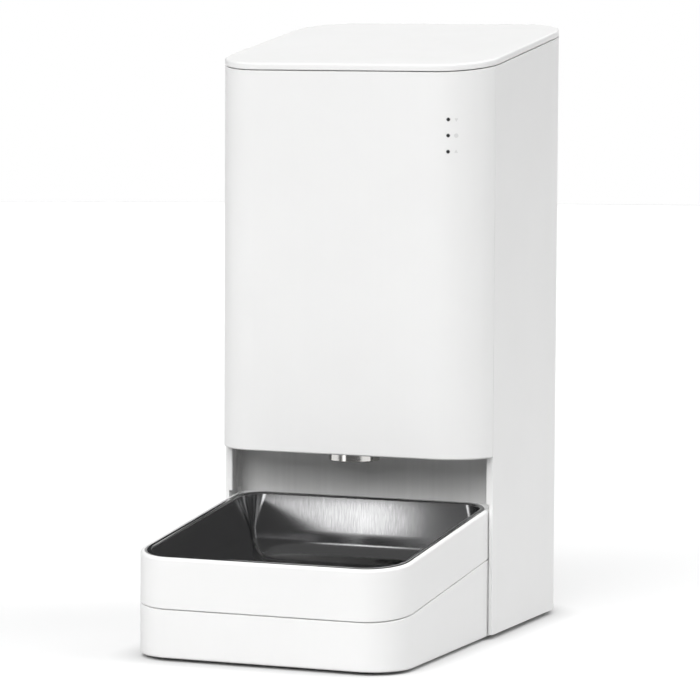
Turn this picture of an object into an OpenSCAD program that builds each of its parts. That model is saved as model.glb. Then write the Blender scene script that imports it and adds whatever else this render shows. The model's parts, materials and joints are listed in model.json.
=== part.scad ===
// Automatic pet feeder: a tower with a lift-out food bin, a geared portion wheel
// and a steel bowl in a two-tier base that docks under the tower's overhang.
// Millimetres, +Z up, front towards -Y, origin at the centre of the footprint.

/* [Tower] */
// Width of the tower and its lid
body_w = 168; // [160:1:180]
// Depth of the tower behind its side seam
shell_d = 132; // [128:1:140]
// How far the front cover stands ahead of the side seam
cover_d = 24.5; // [23:0.5:27]
// Radius of the tower's upright corners
corner_r = 29.5; // [28:0.5:31]
// Wall of the outer shell and the front cover
wall = 2.6; // [2.2:0.1:3]
// Height of the lid seam at the front
seam_h = 325.5; // [310:0.5:345]
// Rise of the lid towards the rear, in degrees
top_tilt = 8.4; // [7.4:0.2:9.2]
// Height of the front cover's lower edge
overhang_z = 105.5; // [103:0.5:108]
// Height of the tower's lower edge above the ground
tower_lift = 3; // [2.6:0.1:3.4]
// Depth of the bowl recess behind the side seam
recess_d = 18; // [17:0.5:19]

/* [Lid] */
// Thickness of the lid at its edge
lid_t = 3.8; // [3:0.2:5]
// Hairline gap under the lid
seam_gap = 0.6; // [0.3:0.1:1]
// Depth of the plug that enters the food bin
plug_h = 9; // [7:0.5:11]
// Diameter of the desiccant box
dry_d = 68; // [56:1:76]
// Height of the desiccant box
dry_h = 15; // [12:0.5:18]

/* [Bowl base] */
// Length of the base ahead of the side seam
base_len = 142; // [136:1:150]
// Radius of the base's front corners
base_r = 24; // [22:0.5:26]
// Height of the base's rim at the front
base_h = 57.8; // [56:0.2:60]
// Height of the seam between the two tiers at the front
tier_h = 29.4; // [27:0.2:32]
// Rise of the base towards the rear, in degrees
base_tilt = 7.1; // [6.7:0.1:7.4]
// Height of the base's lower edge above the ground
base_lift = 1.8; // [1.5:0.1:2.2]
// Wall of both tiers
base_wall = 2.4; // [2:0.1:2.8]

/* [Bowl] */
// Depth of the bowl below its rim
bowl_depth = 38; // [32:1:40]
// Sheet thickness of the bowl
bowl_t = 0.8; // [0.6:0.1:1]
// Width of the bowl's rolled rim
bowl_rim = 3; // [2.6:0.1:3.6]
// Corner radius of the bowl's opening
bowl_r = 20; // [17:0.5:22]
// Taper of the bowl's sides over its depth
bowl_taper = 5; // [4:0.5:8]

/* [Food bin] */
// Wall of the food bin
bin_wall = 2.2; // [1.8:0.1:2.6]
// Inner radius of the wheel chamber
chamber_r = 56; // [54:0.5:57]
// Height of the wheel chamber
chamber_h = 30; // [28:0.5:34]
// Height of the funnel above the chamber
funnel_h = 36; // [32:1:42]
// Height of the bin's floor above the ground
bin_z = 137; // [135:0.5:140]
// Width of the outlet in the bin's floor
outlet_w = 34; // [28:1:38]

/* [Portion wheel] */
// Number of compartments
wheel_cells = 6; // [5:1:8]
// Height of the wheel
wheel_h = 24; // [20:0.5:25]
// Radius of the wheel's hub
hub_r = 18; // [16:0.5:20]

/* [Drive] */
// Module of the gears
gear_m = 1.5; // [1.4:0.05:1.6]
// Teeth of the drive gear, a multiple of four
gear_teeth = 28; // [24:4:28]
// Teeth of the motor pinion, a multiple of four
pinion_teeth = 12; // [12:4:16]
// Face width of the gears
gear_w = 8; // [6:0.5:8.5]
// Diameter of the motor's gearbox
gearbox_d = 25; // [22:0.5:27]
// Length of the motor can
motor_len = 30; // [24:1:34]

/* [Spout] */
// Diameter of the outlet nozzle
spout_d = 29.6; // [28:0.2:30]
// How far the nozzle hangs below the overhang
spout_drop = 4.4; // [3.6:0.2:6]

/* [Batteries] */
// Diameter of one backup cell
cell_d = 34.2; // [33:0.2:34.4]
// Length of one backup cell
cell_len = 61.5; // [60:0.5:63]
// Number of cells side by side
cells = 3; // [2:1:3]

/* [Controls] */
// Diameter of each indicator dot
led_d = 2.1; // [1.6:0.1:3]
// Spacing of the indicator dots
led_pitch = 9.1; // [8:0.1:10]
// Distance of the middle indicator dot below the lid seam
led_drop = 35.5; // [28:0.5:60]
// Diameter of the feed button
button_d = 8; // [7:0.5:10]
// Travel of the feed button
button_travel = 1; // [0.6:0.1:1]
// Bore of the power inlet
jack_bore = 6.3; // [5.8:0.1:6.6]

/* [Fits] */
// Radial clearance of running shafts
run_fit = 0.06; // [0.03:0.01:0.09]
// Clearance between parts that slide past each other
slide_fit = 0.4; // [0.3:0.05:0.5]
// Clearance between parts that are fastened together
seat_fit = 0.1; // [0.05:0.05:0.2]

/* [Hidden] */
$fn = 48;
big = 500;

// Plan of the tower and base
seam_y = (base_len - shell_d) / 2;
front_y = seam_y - cover_d;
rear_y = seam_y + shell_d;
base_front = seam_y - base_len;
panel_y = seam_y + recess_d;
base_rear = panel_y - slide_fit - 0.3;
cheek_x = body_w / 2 - wall;
base_w = 2 * (cheek_x - slide_fit);
base_rear_r = 4;
corner_cx = body_w / 2 - corner_r;
cover_cy = front_y + corner_r;

// Heights
panel_t = 2.4;
plate_t = 2.6;
plate_top = tower_lift + plate_t;
floor_t = 2.4;
outlet_floor_z = overhang_z + 1.6;

// Food bin
bin_gap_front = 10.5;
bin_gap_rear = 8;
bin_x = body_w / 2 - wall - 5.4;
bin_y0 = front_y + bin_gap_front;
bin_y1 = rear_y - bin_gap_rear;
bin_r = 22;
bin_floor = 3;
bin_top_drop = 3.2;
axis_y = seam_y + 50;
chamber_z = bin_z + bin_floor;
funnel_z = chamber_z + chamber_h;
body_z = funnel_z + funnel_h;
outlet_y0 = axis_y - chamber_r + 3;
outlet_y1 = axis_y - hub_r - 11;
rim_w = 2.6;
rim_t = 2.2;
skirt_r = chamber_r + bin_wall + seat_fit;
skirt_t = 2;
skirt_h = 7;
ledge_h = 2;

// Portion wheel
wheel_gap = 0.8;
wheel_z = chamber_z + wheel_gap;
blade_t = 2.4;
blade_r = chamber_r - 7;
wiper_t = 1.2;
wiper_r = chamber_r - 0.6;
wiper_lap = 5;
journal_r = 13;
dog_l = 17;
dog_w = 5;
dog_h = 8;
dog_gap = 0.25;
baffle_t = 2;
baffle_z = wheel_z + wheel_h + 2.8;
baffle_angle = 52;
stirrer_z = wheel_z + wheel_h;
stirrer_h = 22;

// Drive
deck_t = 4;
deck_z = bin_z - deck_t;
deck_gap = 1;
gear_z = deck_z - deck_gap - gear_w;
gear_r = gear_m * gear_teeth / 2;
pinion_r = gear_m * pinion_teeth / 2;
pressure_angle = 25;
addendum = 0.8 * gear_m;
dedendum = 1.15 * gear_m;
backlash = 0.3;
shaft_r = 8;
pivot_r = 4;
motor_shaft_r = 2;
motor_y = axis_y + gear_r + pinion_r;
cover_plate_t = 3;
cover_plate_z = gear_z - deck_gap - cover_plate_t;
gearbox_h = 19;
gearbox_z = cover_plate_z - gearbox_h;
motor_z = gearbox_z - motor_len;
post_r = 3.5;
post_places = [for (x = [-1, 1], q = [[gear_r + 6, axis_y - 12], [gear_r + 3, motor_y + 4]])
    [x * q[0], q[1]]];

// Spout and chute
spout_y = seam_y - 5;
spout_r = spout_d / 2;
spout_t = 1;
spout_lip = 0.5;
spout_z = overhang_z - spout_drop;
spout_flange_w = 1.8;
spout_flange_t = 0.6;
chute_t = 1.8;
chute_z = outlet_floor_z + floor_t;
chute_flange = 5;
chute_flange_t = 2;
chute_lip = [spout_r - spout_t - 3.6, spout_r - spout_t - 6.2];

// Columns that tie floor, shell and deck together
column_r = 5;
column_x = cheek_x - 12;
columns = [for (x = [-1, 1], y = [panel_y + 12, rear_y - corner_r]) [x * column_x, y]];

// Batteries
bay_t = 2;
cell_pitch = cell_d + 0.6;
contact_room = 5;
bay_w = cells * cell_pitch;
bay_l = cell_len + contact_room;
bay_h = cell_d + 1.2;
bay_y0 = panel_y + panel_t + 18;
door_lip = 2.2;
contact_w = 14;
contact_h = 16;
contact_t = 0.5;
spring_r = 6;
spring_tip_r = 3.5;

// Rear board, inlet and button
board_t = 1.6;
board_y = rear_y - 16;
board_w = 96;
board_h = 58;
board_z = 52;
io_z = board_z + 18;
jack_x = 26;
button_x = -20;
jack_nose_r = jack_bore / 2 + 1;
jack_depth = 9;
boss_r = 3;

// Fasteners
screw_r = 1.5;
screw_head_r = 2.9;
screw_head_h = 1.4;
screw_len = 9;
screw_seat = 1;
board_screw_len = 8;

// Indicator board and the leads to it
led_z = seam_h - led_drop;
led_angle = 17.6;
led_flange = 0.8;
led_board_t = 1.2;
led_board_w = 7;
led_post_r = 2.4;
led_screw_r = 0.85;
led_board_r = corner_r - wall - 3.2;
led_clear = 7;
led_board_edge = 3.5;
led_hole_z = led_pitch + led_clear;
led_board_end = led_hole_z + led_board_edge;
wire_r = 0.8;
ribbon_w = 6;
ribbon_t = 0.6;
ribbon_x = 34;
ribbon_y = cover_cy - (led_board_r - led_board_t / 2) * cos(led_angle) - ribbon_t / 2;
ribbon_end_x = corner_cx + (led_board_r - led_board_t / 2) * sin(led_angle);

// ---------- shared shapes ----------

// Rounded rectangle, half width x, from y0 to y1, front and rear corner radii
module plan(x, y0, y1, rf, rb) {
    union() {
        translate([-x, y0 + rf]) square([2 * x, y1 - y0 - rf - rb]);
        translate([-x + rf, y0]) square([2 * (x - rf), rf + 1]);
        translate([-x + rb, y1 - rb - 1]) square([2 * (x - rb), rb + 1]);
        for (s = [-1, 1]) {
            translate([s * (x - rf), y0 + rf]) circle(rf);
            translate([s * (x - rb), y1 - rb]) circle(rb);
        }
    }
}

// Outline of the whole tower, drawn in by some distance
module tower_plan(inset = 0) {
    plan(body_w / 2 - inset, front_y + inset, rear_y - inset, corner_r - inset, corner_r - inset);
}

// Outline of the bowl base, drawn in by some distance
module base_plan(inset = 0) {
    plan(base_w / 2 - inset, base_front + inset, base_rear - inset,
         base_r - inset, max(0.8, base_rear_r - inset));
}

// Everything between two heights measured from a plane that rises towards the rear
module tilted_slab(y, z, tilt, low, high) {
    translate([0, y, z]) rotate([tilt, 0, 0])
        translate([-big, -big, low * cos(tilt)])
            cube([2 * big, 2 * big, (high - low) * cos(tilt)]);
}

// Slab measured from the lid seam
module lid_slab(low, high) {
    tilted_slab(front_y, seam_h, top_tilt, low, high);
}

// Slab measured from the bowl rim's plane
module rim_slab(low, high) {
    tilted_slab(base_front, base_h, base_tilt, low, high);
}

// Upright cylinder at a place
module post(p, z, r, h) {
    translate([p[0], p[1], z]) cylinder(r = r, h = h);
}

// Pan-head screw with its head's underside at z = 0 and its shank downwards
module screw(len = screw_len) {
    cylinder(r = screw_head_r, h = screw_head_h);
    translate([0, 0, -len]) cylinder(r = screw_r, h = len);
}

// Bore for a screw's shank
module screw_bore(len = screw_len + 1) {
    translate([0, 0, -len]) cylinder(r = screw_r + seat_fit / 2, h = len + 1);
}

// Half of a tooth's angle at radius r, in degrees
function involute(a) = tan(a) * 180 / PI - a;
function tooth_angle(pitch_r, teeth, r) =
    let (base_circle = pitch_r * cos(pressure_angle))
    let (arc = PI * gear_m / 2 - backlash / 2)
    let (half = arc / 2 / pitch_r * 180 / PI)
    half + involute(pressure_angle) - involute(acos(min(1, base_circle / max(r, base_circle))));

// Spur gear outline with a tooth on the +X axis
module gear_outline(teeth) {
    pitch_r = gear_m * teeth / 2;
    steps = 4;
    root = pitch_r - dedendum;
    flank = [for (i = [0:steps])
        let (low = max(root, pitch_r * cos(pressure_angle)))
        low + (pitch_r + addendum - low) * i / steps];
    polygon([for (k = [0:teeth - 1])
        for (p = concat(
            [[root, -tooth_angle(pitch_r, teeth, flank[0])]],
            [for (r = flank) [r, -tooth_angle(pitch_r, teeth, r)]],
            [for (i = [steps:-1:0]) [flank[i], tooth_angle(pitch_r, teeth, flank[i])]],
            [[root, tooth_angle(pitch_r, teeth, flank[0])]]))
        let (a = p[1] + k * 360 / teeth)
        p[0] * [cos(a), sin(a)]]);
}

// Cross-shaped outline of the dog between drive gear and portion wheel
module dog_outline(grow = 0) {
    for (a = [0, 90]) rotate(a) square([dog_l + 2 * grow, dog_w + 2 * grow], center = true);
}

// ---------- tower ----------

groove_y = seam_y + 8.3;
groove_l = 4.2;
groove_d = 1.1;

module outer_shell() color("white") {
    difference() {
        union() {
            difference() {
                translate([0, 0, tower_lift]) linear_extrude(2 * seam_h) tower_plan();
                translate([0, 0, tower_lift - 1]) linear_extrude(2 * seam_h + 2) tower_plan(wall);
                // flat inner faces right up to the side seam
                translate([-cheek_x, seam_y - 1, tower_lift - 1])
                    cube([2 * cheek_x, corner_r, 2 * seam_h]);
                // open front, behind the side seam
                translate([-big, seam_y - big, 0]) cube([2 * big, big, big]);
            }
            // columns for the floor and deck screws
            for (c = columns) difference() {
                union() {
                    post(c, plate_top, column_r, deck_z - plate_top);
                    translate([c[0] > 0 ? c[0] : -cheek_x - 0.5, c[1] - 1.2, plate_top])
                        cube([cheek_x + 0.5 - abs(c[0]), 2.4, deck_z - plate_top]);
                }
                translate([c[0], c[1], deck_z]) screw_bore();
                translate([c[0], c[1], plate_top]) mirror([0, 0, 1]) screw_bore();
            }
            // ledges under the top frame
            for (s = [-1, 1], y = [seam_y + 14, rear_y - corner_r - 20]) intersection() {
                translate([s * (cheek_x - 0.7) - 2.3, y, seam_h / 2]) cube([4.6, 18, seam_h]);
                lid_slab(-top_frame_drop - top_frame_t - 6, -top_frame_drop - top_frame_t);
            }
            // bosses for the main board
            for (b = board_holes) translate([b[0], board_y + board_t, b[1]])
                rotate([-90, 0, 0]) difference() {
                    cylinder(r = boss_r, h = rear_y - wall - board_y - board_t + 0.5);
                    cylinder(r = screw_r + seat_fit / 2, h = screw_len);
                }
        }
        lid_slab(0, big);
        // grooves in the cheeks
        for (s = [-1, 1]) translate([s * cheek_x - groove_d, groove_y, 0])
            cube([2 * groove_d, groove_l, outlet_floor_z]);
        // inlet and button holes
        translate([jack_x, rear_y - wall - 1, io_z]) rotate([-90, 0, 0])
            cylinder(r = jack_nose_r + seat_fit, h = wall + 2);
        translate([button_x, rear_y - wall - 1, io_z]) rotate([-90, 0, 0])
            cylinder(d = button_d + 2 * 0.25, h = wall + 2);
    }
}

tongue_t = 1.8;
tongue_len = 7;
tongue_h = 22;
tongue_lo = deck_z + deck_t + 10;
tongue_hi = seam_h - 46.5;
tongue_heights = [tongue_lo, (tongue_lo + tongue_hi) / 2, tongue_hi];
module front_cover() color("white") {
    difference() {
        union() {
            intersection() {
                difference() {
                    translate([0, 0, overhang_z]) linear_extrude(2 * seam_h) tower_plan();
                    translate([0, 0, overhang_z - 1]) linear_extrude(2 * seam_h + 2) tower_plan(wall);
                }
                translate([-big, seam_y - 0.15 - big, 0]) cube([2 * big, big, big]);
            }
            // tongues that slip inside the outer shell
            for (s = [-1, 1], z = tongue_heights)
                translate([s * (cheek_x - seat_fit - tongue_t / 2) - tongue_t / 2,
                           seam_y - 4, z])
                    cube([tongue_t, tongue_len + 4, tongue_h]);
            for (s = [-1, 1], z = tongue_heights)
                translate([s * (cheek_x - 0.9) - 1.5, seam_y - 4, z]) cube([3, 3.6, tongue_h]);
            // ledge that carries the outlet floor
            intersection() {
                translate([0, 0, overhang_z + 0.2]) linear_extrude(outlet_floor_z - overhang_z - 0.2)
                    difference() {
                        tower_plan(wall - 0.5);
                        tower_plan(wall + 2.4);
                        translate([0, spout_y]) circle(spout_r + 1);
                    }
                translate([-big, seam_y - 6 - big, 0]) cube([2 * big, big, big]);
            }
            // posts for the indicator board
            at_indicator() for (z = [-1, 1]) translate([led_board_r, 0, z * led_hole_z])
                rotate([0, 90, 0]) cylinder(r = led_post_r, h = 3.6);
        }
        lid_slab(0, big);
        at_indicator() for (k = [-1:1]) translate([corner_r - wall - 1, 0, k * led_pitch])
            rotate([0, 90, 0]) cylinder(d = led_d + seat_fit, h = wall + 3);
        at_indicator() for (z = [-1, 1]) translate([led_board_r - 0.8, 0, z * led_hole_z])
            rotate([0, 90, 0]) cylinder(r = led_screw_r + seat_fit / 2, h = 4.4);
    }
}

// Frame at the upright axis of the front right corner, +X pointing out through the indicator
module at_indicator() {
    translate([corner_cx, cover_cy, led_z]) rotate([0, 0, led_angle - 90]) children();
}

slot_w = 62;
slot_z = 6;
slot_h = 4;
tongue_gap = 0.5;
tongue_z = slot_z + tongue_gap;
module recess_panel() color("whitesmoke") {
    top = outlet_floor_z - seat_fit;
    difference() {
        translate([-cheek_x + seat_fit, panel_y, tower_lift + 0.2])
            cube([2 * (cheek_x - seat_fit), panel_t, top - tower_lift - 0.2]);
        // slot for the base's dock tongue
        translate([-slot_w / 2, panel_y - 1, slot_z]) cube([slot_w, panel_t + 2, slot_h]);
        // room for the floor plate's front edge
        translate([-big, panel_y + panel_t - seat_fit - 0.6, 0]) cube([2 * big, 2, plate_top + 0.2]);
    }
    // side returns above the base
    z0 = base_h + (base_rear - base_front) * tan(base_tilt) + 1.5;
    for (s = [-1, 1]) translate([s * (cheek_x - seat_fit - 0.5) - 0.5, groove_y + groove_l, z0])
        cube([1, panel_y - groove_y - groove_l + 0.5, top - z0]);
}

module outlet_floor() color("whitesmoke") {
    difference() {
        intersection() {
            translate([0, 0, outlet_floor_z]) linear_extrude(floor_t) tower_plan(wall + seat_fit);
            translate([-big, panel_y + panel_t - big, 0]) cube([2 * big, big, big]);
        }
        post([0, spout_y], 0, spout_r + seat_fit, big);
    }
}

module bottom_plate() color("whitesmoke") {
    difference() {
        intersection() {
            translate([0, 0, tower_lift + 0.2]) linear_extrude(plate_t - 0.2) tower_plan(wall + seat_fit);
            translate([-big, panel_y + panel_t - 0.6, 0]) cube([2 * big, big, big]);
        }
        // battery opening with a stepped edge for the door
        translate([-bay_w / 2, bay_y0, 0]) cube([bay_w, bay_l, big]);
        translate([-bay_w / 2 - door_lip, bay_y0 - door_lip, 0])
            cube([bay_w + 2 * door_lip, bay_l + 2 * door_lip, tower_lift + 1.6]);
        for (c = columns) translate([c[0], c[1], plate_top]) {
            mirror([0, 0, 1]) translate([0, 0, -1]) cylinder(r = screw_r + 0.15, h = big);
            translate([0, 0, -big - screw_seat]) cylinder(r = screw_head_r + 0.3, h = big);
        }
        for (f = tower_foot_places) post(f, 0, foot_r + seat_fit, tower_lift + 1);
    }
}

deck_front = outlet_y0 - chute_t - 3;
module chassis() color("gainsboro") {
    difference() {
        intersection() {
            translate([0, 0, deck_z]) linear_extrude(deck_t) tower_plan(wall + seat_fit);
            translate([-big, deck_front, 0]) cube([2 * big, big, big]);
        }
        // bearing for the drive gear's shaft
        post([0, axis_y], deck_z - 1, shaft_r + run_fit, deck_t + 2);
        // outlet
        translate([-outlet_w / 2, outlet_y0, deck_z - 1])
            cube([outlet_w, outlet_y1 - outlet_y0, deck_t + 2]);
        for (c = columns) translate([c[0], c[1], deck_z]) {
            translate([0, 0, -1]) cylinder(r = screw_r + 0.15, h = deck_t + 2);
            translate([0, 0, deck_t - screw_head_h - 0.2]) cylinder(r = screw_head_r + 0.3, h = 5);
        }
    }
    // posts that carry the gear cover
    for (p = post_places) difference() {
        post(p, cover_plate_z + cover_plate_t, post_r, deck_z - cover_plate_z - cover_plate_t);
        translate([p[0], p[1], cover_plate_z + cover_plate_t]) mirror([0, 0, 1])
            screw_bore();
    }
}

top_frame_t = 2.4;
top_frame_drop = bin_top_drop + rim_t;
module top_frame() color("whitesmoke") {
    intersection() {
        translate([0, 0, seam_h / 2]) linear_extrude(seam_h) difference() {
            tower_plan(wall + seat_fit);
            plan(bin_x + slide_fit, bin_y0 - slide_fit, bin_y1 + slide_fit,
                 bin_r + slide_fit, bin_r + slide_fit);
        }
        lid_slab(-top_frame_drop - top_frame_t, -top_frame_drop);
    }
}

// ---------- lid ----------

mouth_x = bin_x - bin_wall;
mouth_r = bin_r - bin_wall;
plug_gap = 2.4;
plug_t = 2;
module mouth_plan(inset) {
    plan(mouth_x - inset, bin_y0 + bin_wall + inset, bin_y1 - bin_wall - inset,
         mouth_r - inset, mouth_r - inset);
}

module lid() color("white") {
    intersection() {
        translate([0, 0, seam_h / 2]) linear_extrude(seam_h) tower_plan();
        lid_slab(seam_gap, seam_gap + lid_t);
    }
    // plug wall that carries the seal
    intersection() {
        translate([0, 0, seam_h / 2]) linear_extrude(seam_h) difference() {
            mouth_plan(plug_gap);
            mouth_plan(plug_gap + plug_t);
        }
        lid_slab(-plug_h, seam_gap + 0.5);
    }
    // pads that rest on the food bin's rim
    for (s = [-1, 1], y = [bin_y0 + bin_r + 8, bin_y1 - bin_r - 20]) intersection() {
        translate([s * (bin_x + 0.4) - 1.4, y, seam_h / 2]) cube([2.8, 12, seam_h]);
        lid_slab(-bin_top_drop, seam_gap + 0.5);
    }
}

seal_t = 2.2;
module lid_seal() color("lightgray") {
    intersection() {
        translate([0, 0, seam_h / 2]) linear_extrude(seam_h) difference() {
            mouth_plan(0.3);
            mouth_plan(plug_gap - 0.02);
        }
        lid_slab(-plug_h + 2.4, -plug_h + 2.4 + seal_t);
    }
}

// Frame on the lid's underside, at the middle of the food bin's mouth
dry_y = (bin_y0 + bin_y1) / 2;
dry_wall = 1.6;
module on_lid() {
    translate([0, dry_y, seam_h + seam_gap + (dry_y - front_y) * tan(top_tilt)])
        rotate([top_tilt, 0, 0]) children();
}

module desiccant_box() color("white") on_lid() {
    difference() {
        translate([0, 0, -dry_h]) cylinder(d = dry_d, h = dry_h - 0.01);
        translate([0, 0, -dry_h - 1]) cylinder(d = dry_d - 2 * dry_wall, h = dry_h - dry_wall + 1);
    }
}

cover_skirt = 6;
module desiccant_cover() color("whitesmoke") on_lid() {
    difference() {
        translate([0, 0, -dry_h - dry_wall - 0.2])
            cylinder(d = dry_d + 2 * dry_wall + 2 * 0.08, h = cover_skirt + dry_wall);
        translate([0, 0, -dry_h - 0.2]) cylinder(d = dry_d + 2 * 0.08, h = cover_skirt + 1);
        // vent slots in rings
        for (ring = [[0.16, 6], [0.3, 10]], k = [0:ring[1] - 1])
            rotate(k * 360 / ring[1]) translate([ring[0] * dry_d, 0, -dry_h - dry_wall - 1])
                cylinder(r = 2.2, h = dry_wall + 2);
    }
}

module desiccant_pack() color("ivory") on_lid() {
    translate([0, 0, -dry_h + 0.3]) cylinder(d = dry_d - 2 * dry_wall - 1.2, h = dry_h - dry_wall - 0.6);
}

// ---------- food bin and portion wheel ----------

module bin_plan(inset = 0) {
    plan(bin_x - inset, bin_y0 + inset, bin_y1 - inset, bin_r - inset, bin_r - inset);
}

// Funnel between the round chamber and the bin's body
module funnel(inset) {
    hull() {
        translate([0, 0, body_z - 0.02]) linear_extrude(0.02) bin_plan(inset);
        post([0, axis_y], funnel_z, chamber_r + bin_wall - inset, 0.02);
    }
}

module food_bin() color([0.93, 0.94, 0.95]) {
    difference() {
        union() {
            intersection() {
                translate([0, 0, body_z - 0.01]) linear_extrude(seam_h) bin_plan();
                lid_slab(-big, -bin_top_drop);
            }
            // rim that rests on the top frame
            intersection() {
                translate([0, 0, seam_h / 2]) linear_extrude(seam_h)
                    plan(bin_x + rim_w, bin_y0 - rim_w, bin_y1 + rim_w, bin_r + rim_w, bin_r + rim_w);
                lid_slab(-bin_top_drop - rim_t, -bin_top_drop);
            }
            funnel(0);
            // skirt that holds the wheel housing
            post([0, axis_y], funnel_z - skirt_h, skirt_r + skirt_t, skirt_h + 3);
        }
        translate([0, 0, body_z - 0.01]) linear_extrude(seam_h) bin_plan(bin_wall);
        funnel(bin_wall);
        post([0, axis_y], funnel_z - 1, chamber_r, 1.01);
        post([0, axis_y], funnel_z - skirt_h - 1, skirt_r, skirt_h + 1);
    }
}

module wheel_housing() color([0.9, 0.91, 0.92]) {
    difference() {
        post([0, axis_y], bin_z, chamber_r + bin_wall, funnel_z - bin_z);
        post([0, axis_y], chamber_z, chamber_r, chamber_h + 1);
        // bearing for the portion wheel
        post([0, axis_y], bin_z - 1, journal_r + run_fit, bin_floor + 2);
        // outlet
        translate([-outlet_w / 2, outlet_y0, bin_z - 1])
            cube([outlet_w, outlet_y1 - outlet_y0, bin_floor + 2]);
    }
    // ledges that carry the flow baffle
    for (a = [-1, 1]) translate([0, axis_y, baffle_z - ledge_h]) rotate(a * (baffle_angle - 8) - 90)
        translate([chamber_r - 2.2, -3, 0]) cube([2.5, 6, ledge_h]);
}

module sector(r, half_angle) {
    polygon(concat([[0, 0]], [for (a = [-1, -0.5, 0, 0.5, 1])
        2 * r * [cos(a * half_angle), sin(a * half_angle)]]));
}

module flow_baffle() color("gainsboro") {
    translate([0, axis_y, baffle_z]) rotate(-90) linear_extrude(baffle_t) intersection() {
        difference() {
            circle(chamber_r - 0.2);
            circle(hub_r + 1.5);
        }
        sector(chamber_r, baffle_angle);
    }
}

module portion_wheel() color("lightsteelblue") {
    difference() {
        union() {
            post([0, axis_y], wheel_z, hub_r, wheel_h);
            post([0, axis_y], bin_z + 0.2, journal_r, wheel_z - bin_z);
            post([0, axis_y], chamber_z + 0.1, hub_r - 1, wheel_gap);
            for (k = [0:wheel_cells - 1]) translate([0, axis_y, wheel_z]) rotate(k * 360 / wheel_cells)
                translate([hub_r - 2, -blade_t / 2, 0]) cube([blade_r - hub_r + 2, blade_t, wheel_h]);
        }
        translate([0, axis_y, bin_z - 1]) linear_extrude(dog_h + 2) dog_outline(dog_gap);
        // slots that hold the wipers
        for (k = [0:wheel_cells - 1]) translate([0, axis_y, wheel_z - 1]) rotate(k * 360 / wheel_cells)
            translate([blade_r - wiper_lap, -wiper_t / 2, 0]) cube([wiper_lap + 1, wiper_t, wheel_h + 2]);
    }
}

module wheel_wipers() color("slategray") {
    for (k = [0:wheel_cells - 1]) translate([0, axis_y, wheel_z]) rotate(k * 360 / wheel_cells)
        translate([blade_r - wiper_lap, -wiper_t / 2, 0])
            cube([wiper_r - blade_r + wiper_lap, wiper_t, wheel_h - 0.2]);
}

module stirrer() color("lightsteelblue") {
    translate([0, axis_y, stirrer_z]) {
        cylinder(r1 = hub_r - 1, r2 = 5, h = stirrer_h);
        for (a = [0, 180]) rotate(a + 30) translate([4, -1.6, baffle_z + baffle_t - stirrer_z + 1])
            cube([chamber_r * 0.62, 3.2, 5]);
    }
}

// ---------- drive ----------

module drive_gear() color("ivory") {
    difference() {
        translate([0, axis_y, gear_z]) rotate(90) linear_extrude(gear_w) gear_outline(gear_teeth);
        // lightening holes
        for (k = [0:5]) translate([0, axis_y, gear_z - 1]) rotate(k * 60 + 30)
            translate([gear_r * 0.6, 0, 0]) cylinder(r = gear_r * 0.17, h = gear_w + 2);
    }
    post([0, axis_y], gear_z + gear_w - 0.01, shaft_r, deck_gap + deck_t + 0.01);
    translate([0, axis_y, bin_z - 0.01]) linear_extrude(dog_h) intersection() {
        dog_outline();
        circle(shaft_r);
    }
    post([0, axis_y], gear_z - deck_gap - cover_plate_t, pivot_r, deck_gap + cover_plate_t + 0.01);
    post([0, axis_y], gear_z - deck_gap + 0.1, pivot_r + 3, deck_gap);
}

module motor_pinion() color("goldenrod") {
    difference() {
        translate([0, motor_y, gear_z]) rotate(90 + 180 / pinion_teeth)
            linear_extrude(gear_w) gear_outline(pinion_teeth);
        post([0, motor_y], gear_z - 1, motor_shaft_r, gear_w + 2);
    }
}

module motor_shaft() color("silver") {
    post([0, motor_y], gearbox_z + 4, motor_shaft_r, gear_z + gear_w - gearbox_z - 4.5);
}

module gearbox() color("dimgray") {
    difference() {
        union() {
            post([0, motor_y], gearbox_z, gearbox_d / 2, gearbox_h);
            post([0, motor_y], gearbox_z + gearbox_h - 0.01, 4.5, cover_plate_t * 0.8);
        }
        post([0, motor_y], gearbox_z + 3.5, motor_shaft_r + run_fit, gearbox_h + cover_plate_t);
        for (s = [-1, 1]) translate([s * 8.5, motor_y, cover_plate_z]) screw_bore(6);
    }
}

motor_pin_x = 8;
motor_pin_l = 4;
module motor() color("silver") {
    post([0, motor_y], motor_z, gearbox_d / 2 - 0.4, motor_len);
    post([0, motor_y], motor_z - 1.6, 5, 1.7);
    for (s = [-1, 1]) translate([s * motor_pin_x - 1.2, motor_y - 0.25, motor_z - motor_pin_l])
        cube([2.4, 0.5, motor_pin_l + 0.1]);
}

module gear_cover() color("whitesmoke") {
    x = 37;
    y0 = axis_y - gear_r - 6;
    y1 = motor_y + gearbox_d / 2 + 2;
    difference() {
        translate([0, 0, cover_plate_z]) linear_extrude(cover_plate_t) plan(x, y0, y1, 10, 10);
        post([0, axis_y], cover_plate_z - 1, pivot_r + run_fit, cover_plate_t + 2);
        post([0, motor_y], cover_plate_z - 1, 4.6, cover_plate_t + 2);
        for (s = [-1, 1]) translate([s * 8.5, motor_y, cover_plate_z]) {
            translate([0, 0, -1]) cylinder(r = screw_r + 0.15, h = cover_plate_t + 2);
            translate([0, 0, cover_plate_t - screw_head_h - 0.1]) cylinder(r = screw_head_r + 0.3, h = 5);
        }
        for (p = post_places) translate([p[0], p[1], cover_plate_z - 1])
            cylinder(r = screw_r + 0.15, h = cover_plate_t + 2);
    }
}

// ---------- food path ----------

module chute_slice(x, y0, y1, z) {
    translate([-x, y0, z]) cube([2 * x, y1 - y0, 0.02]);
}

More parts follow.
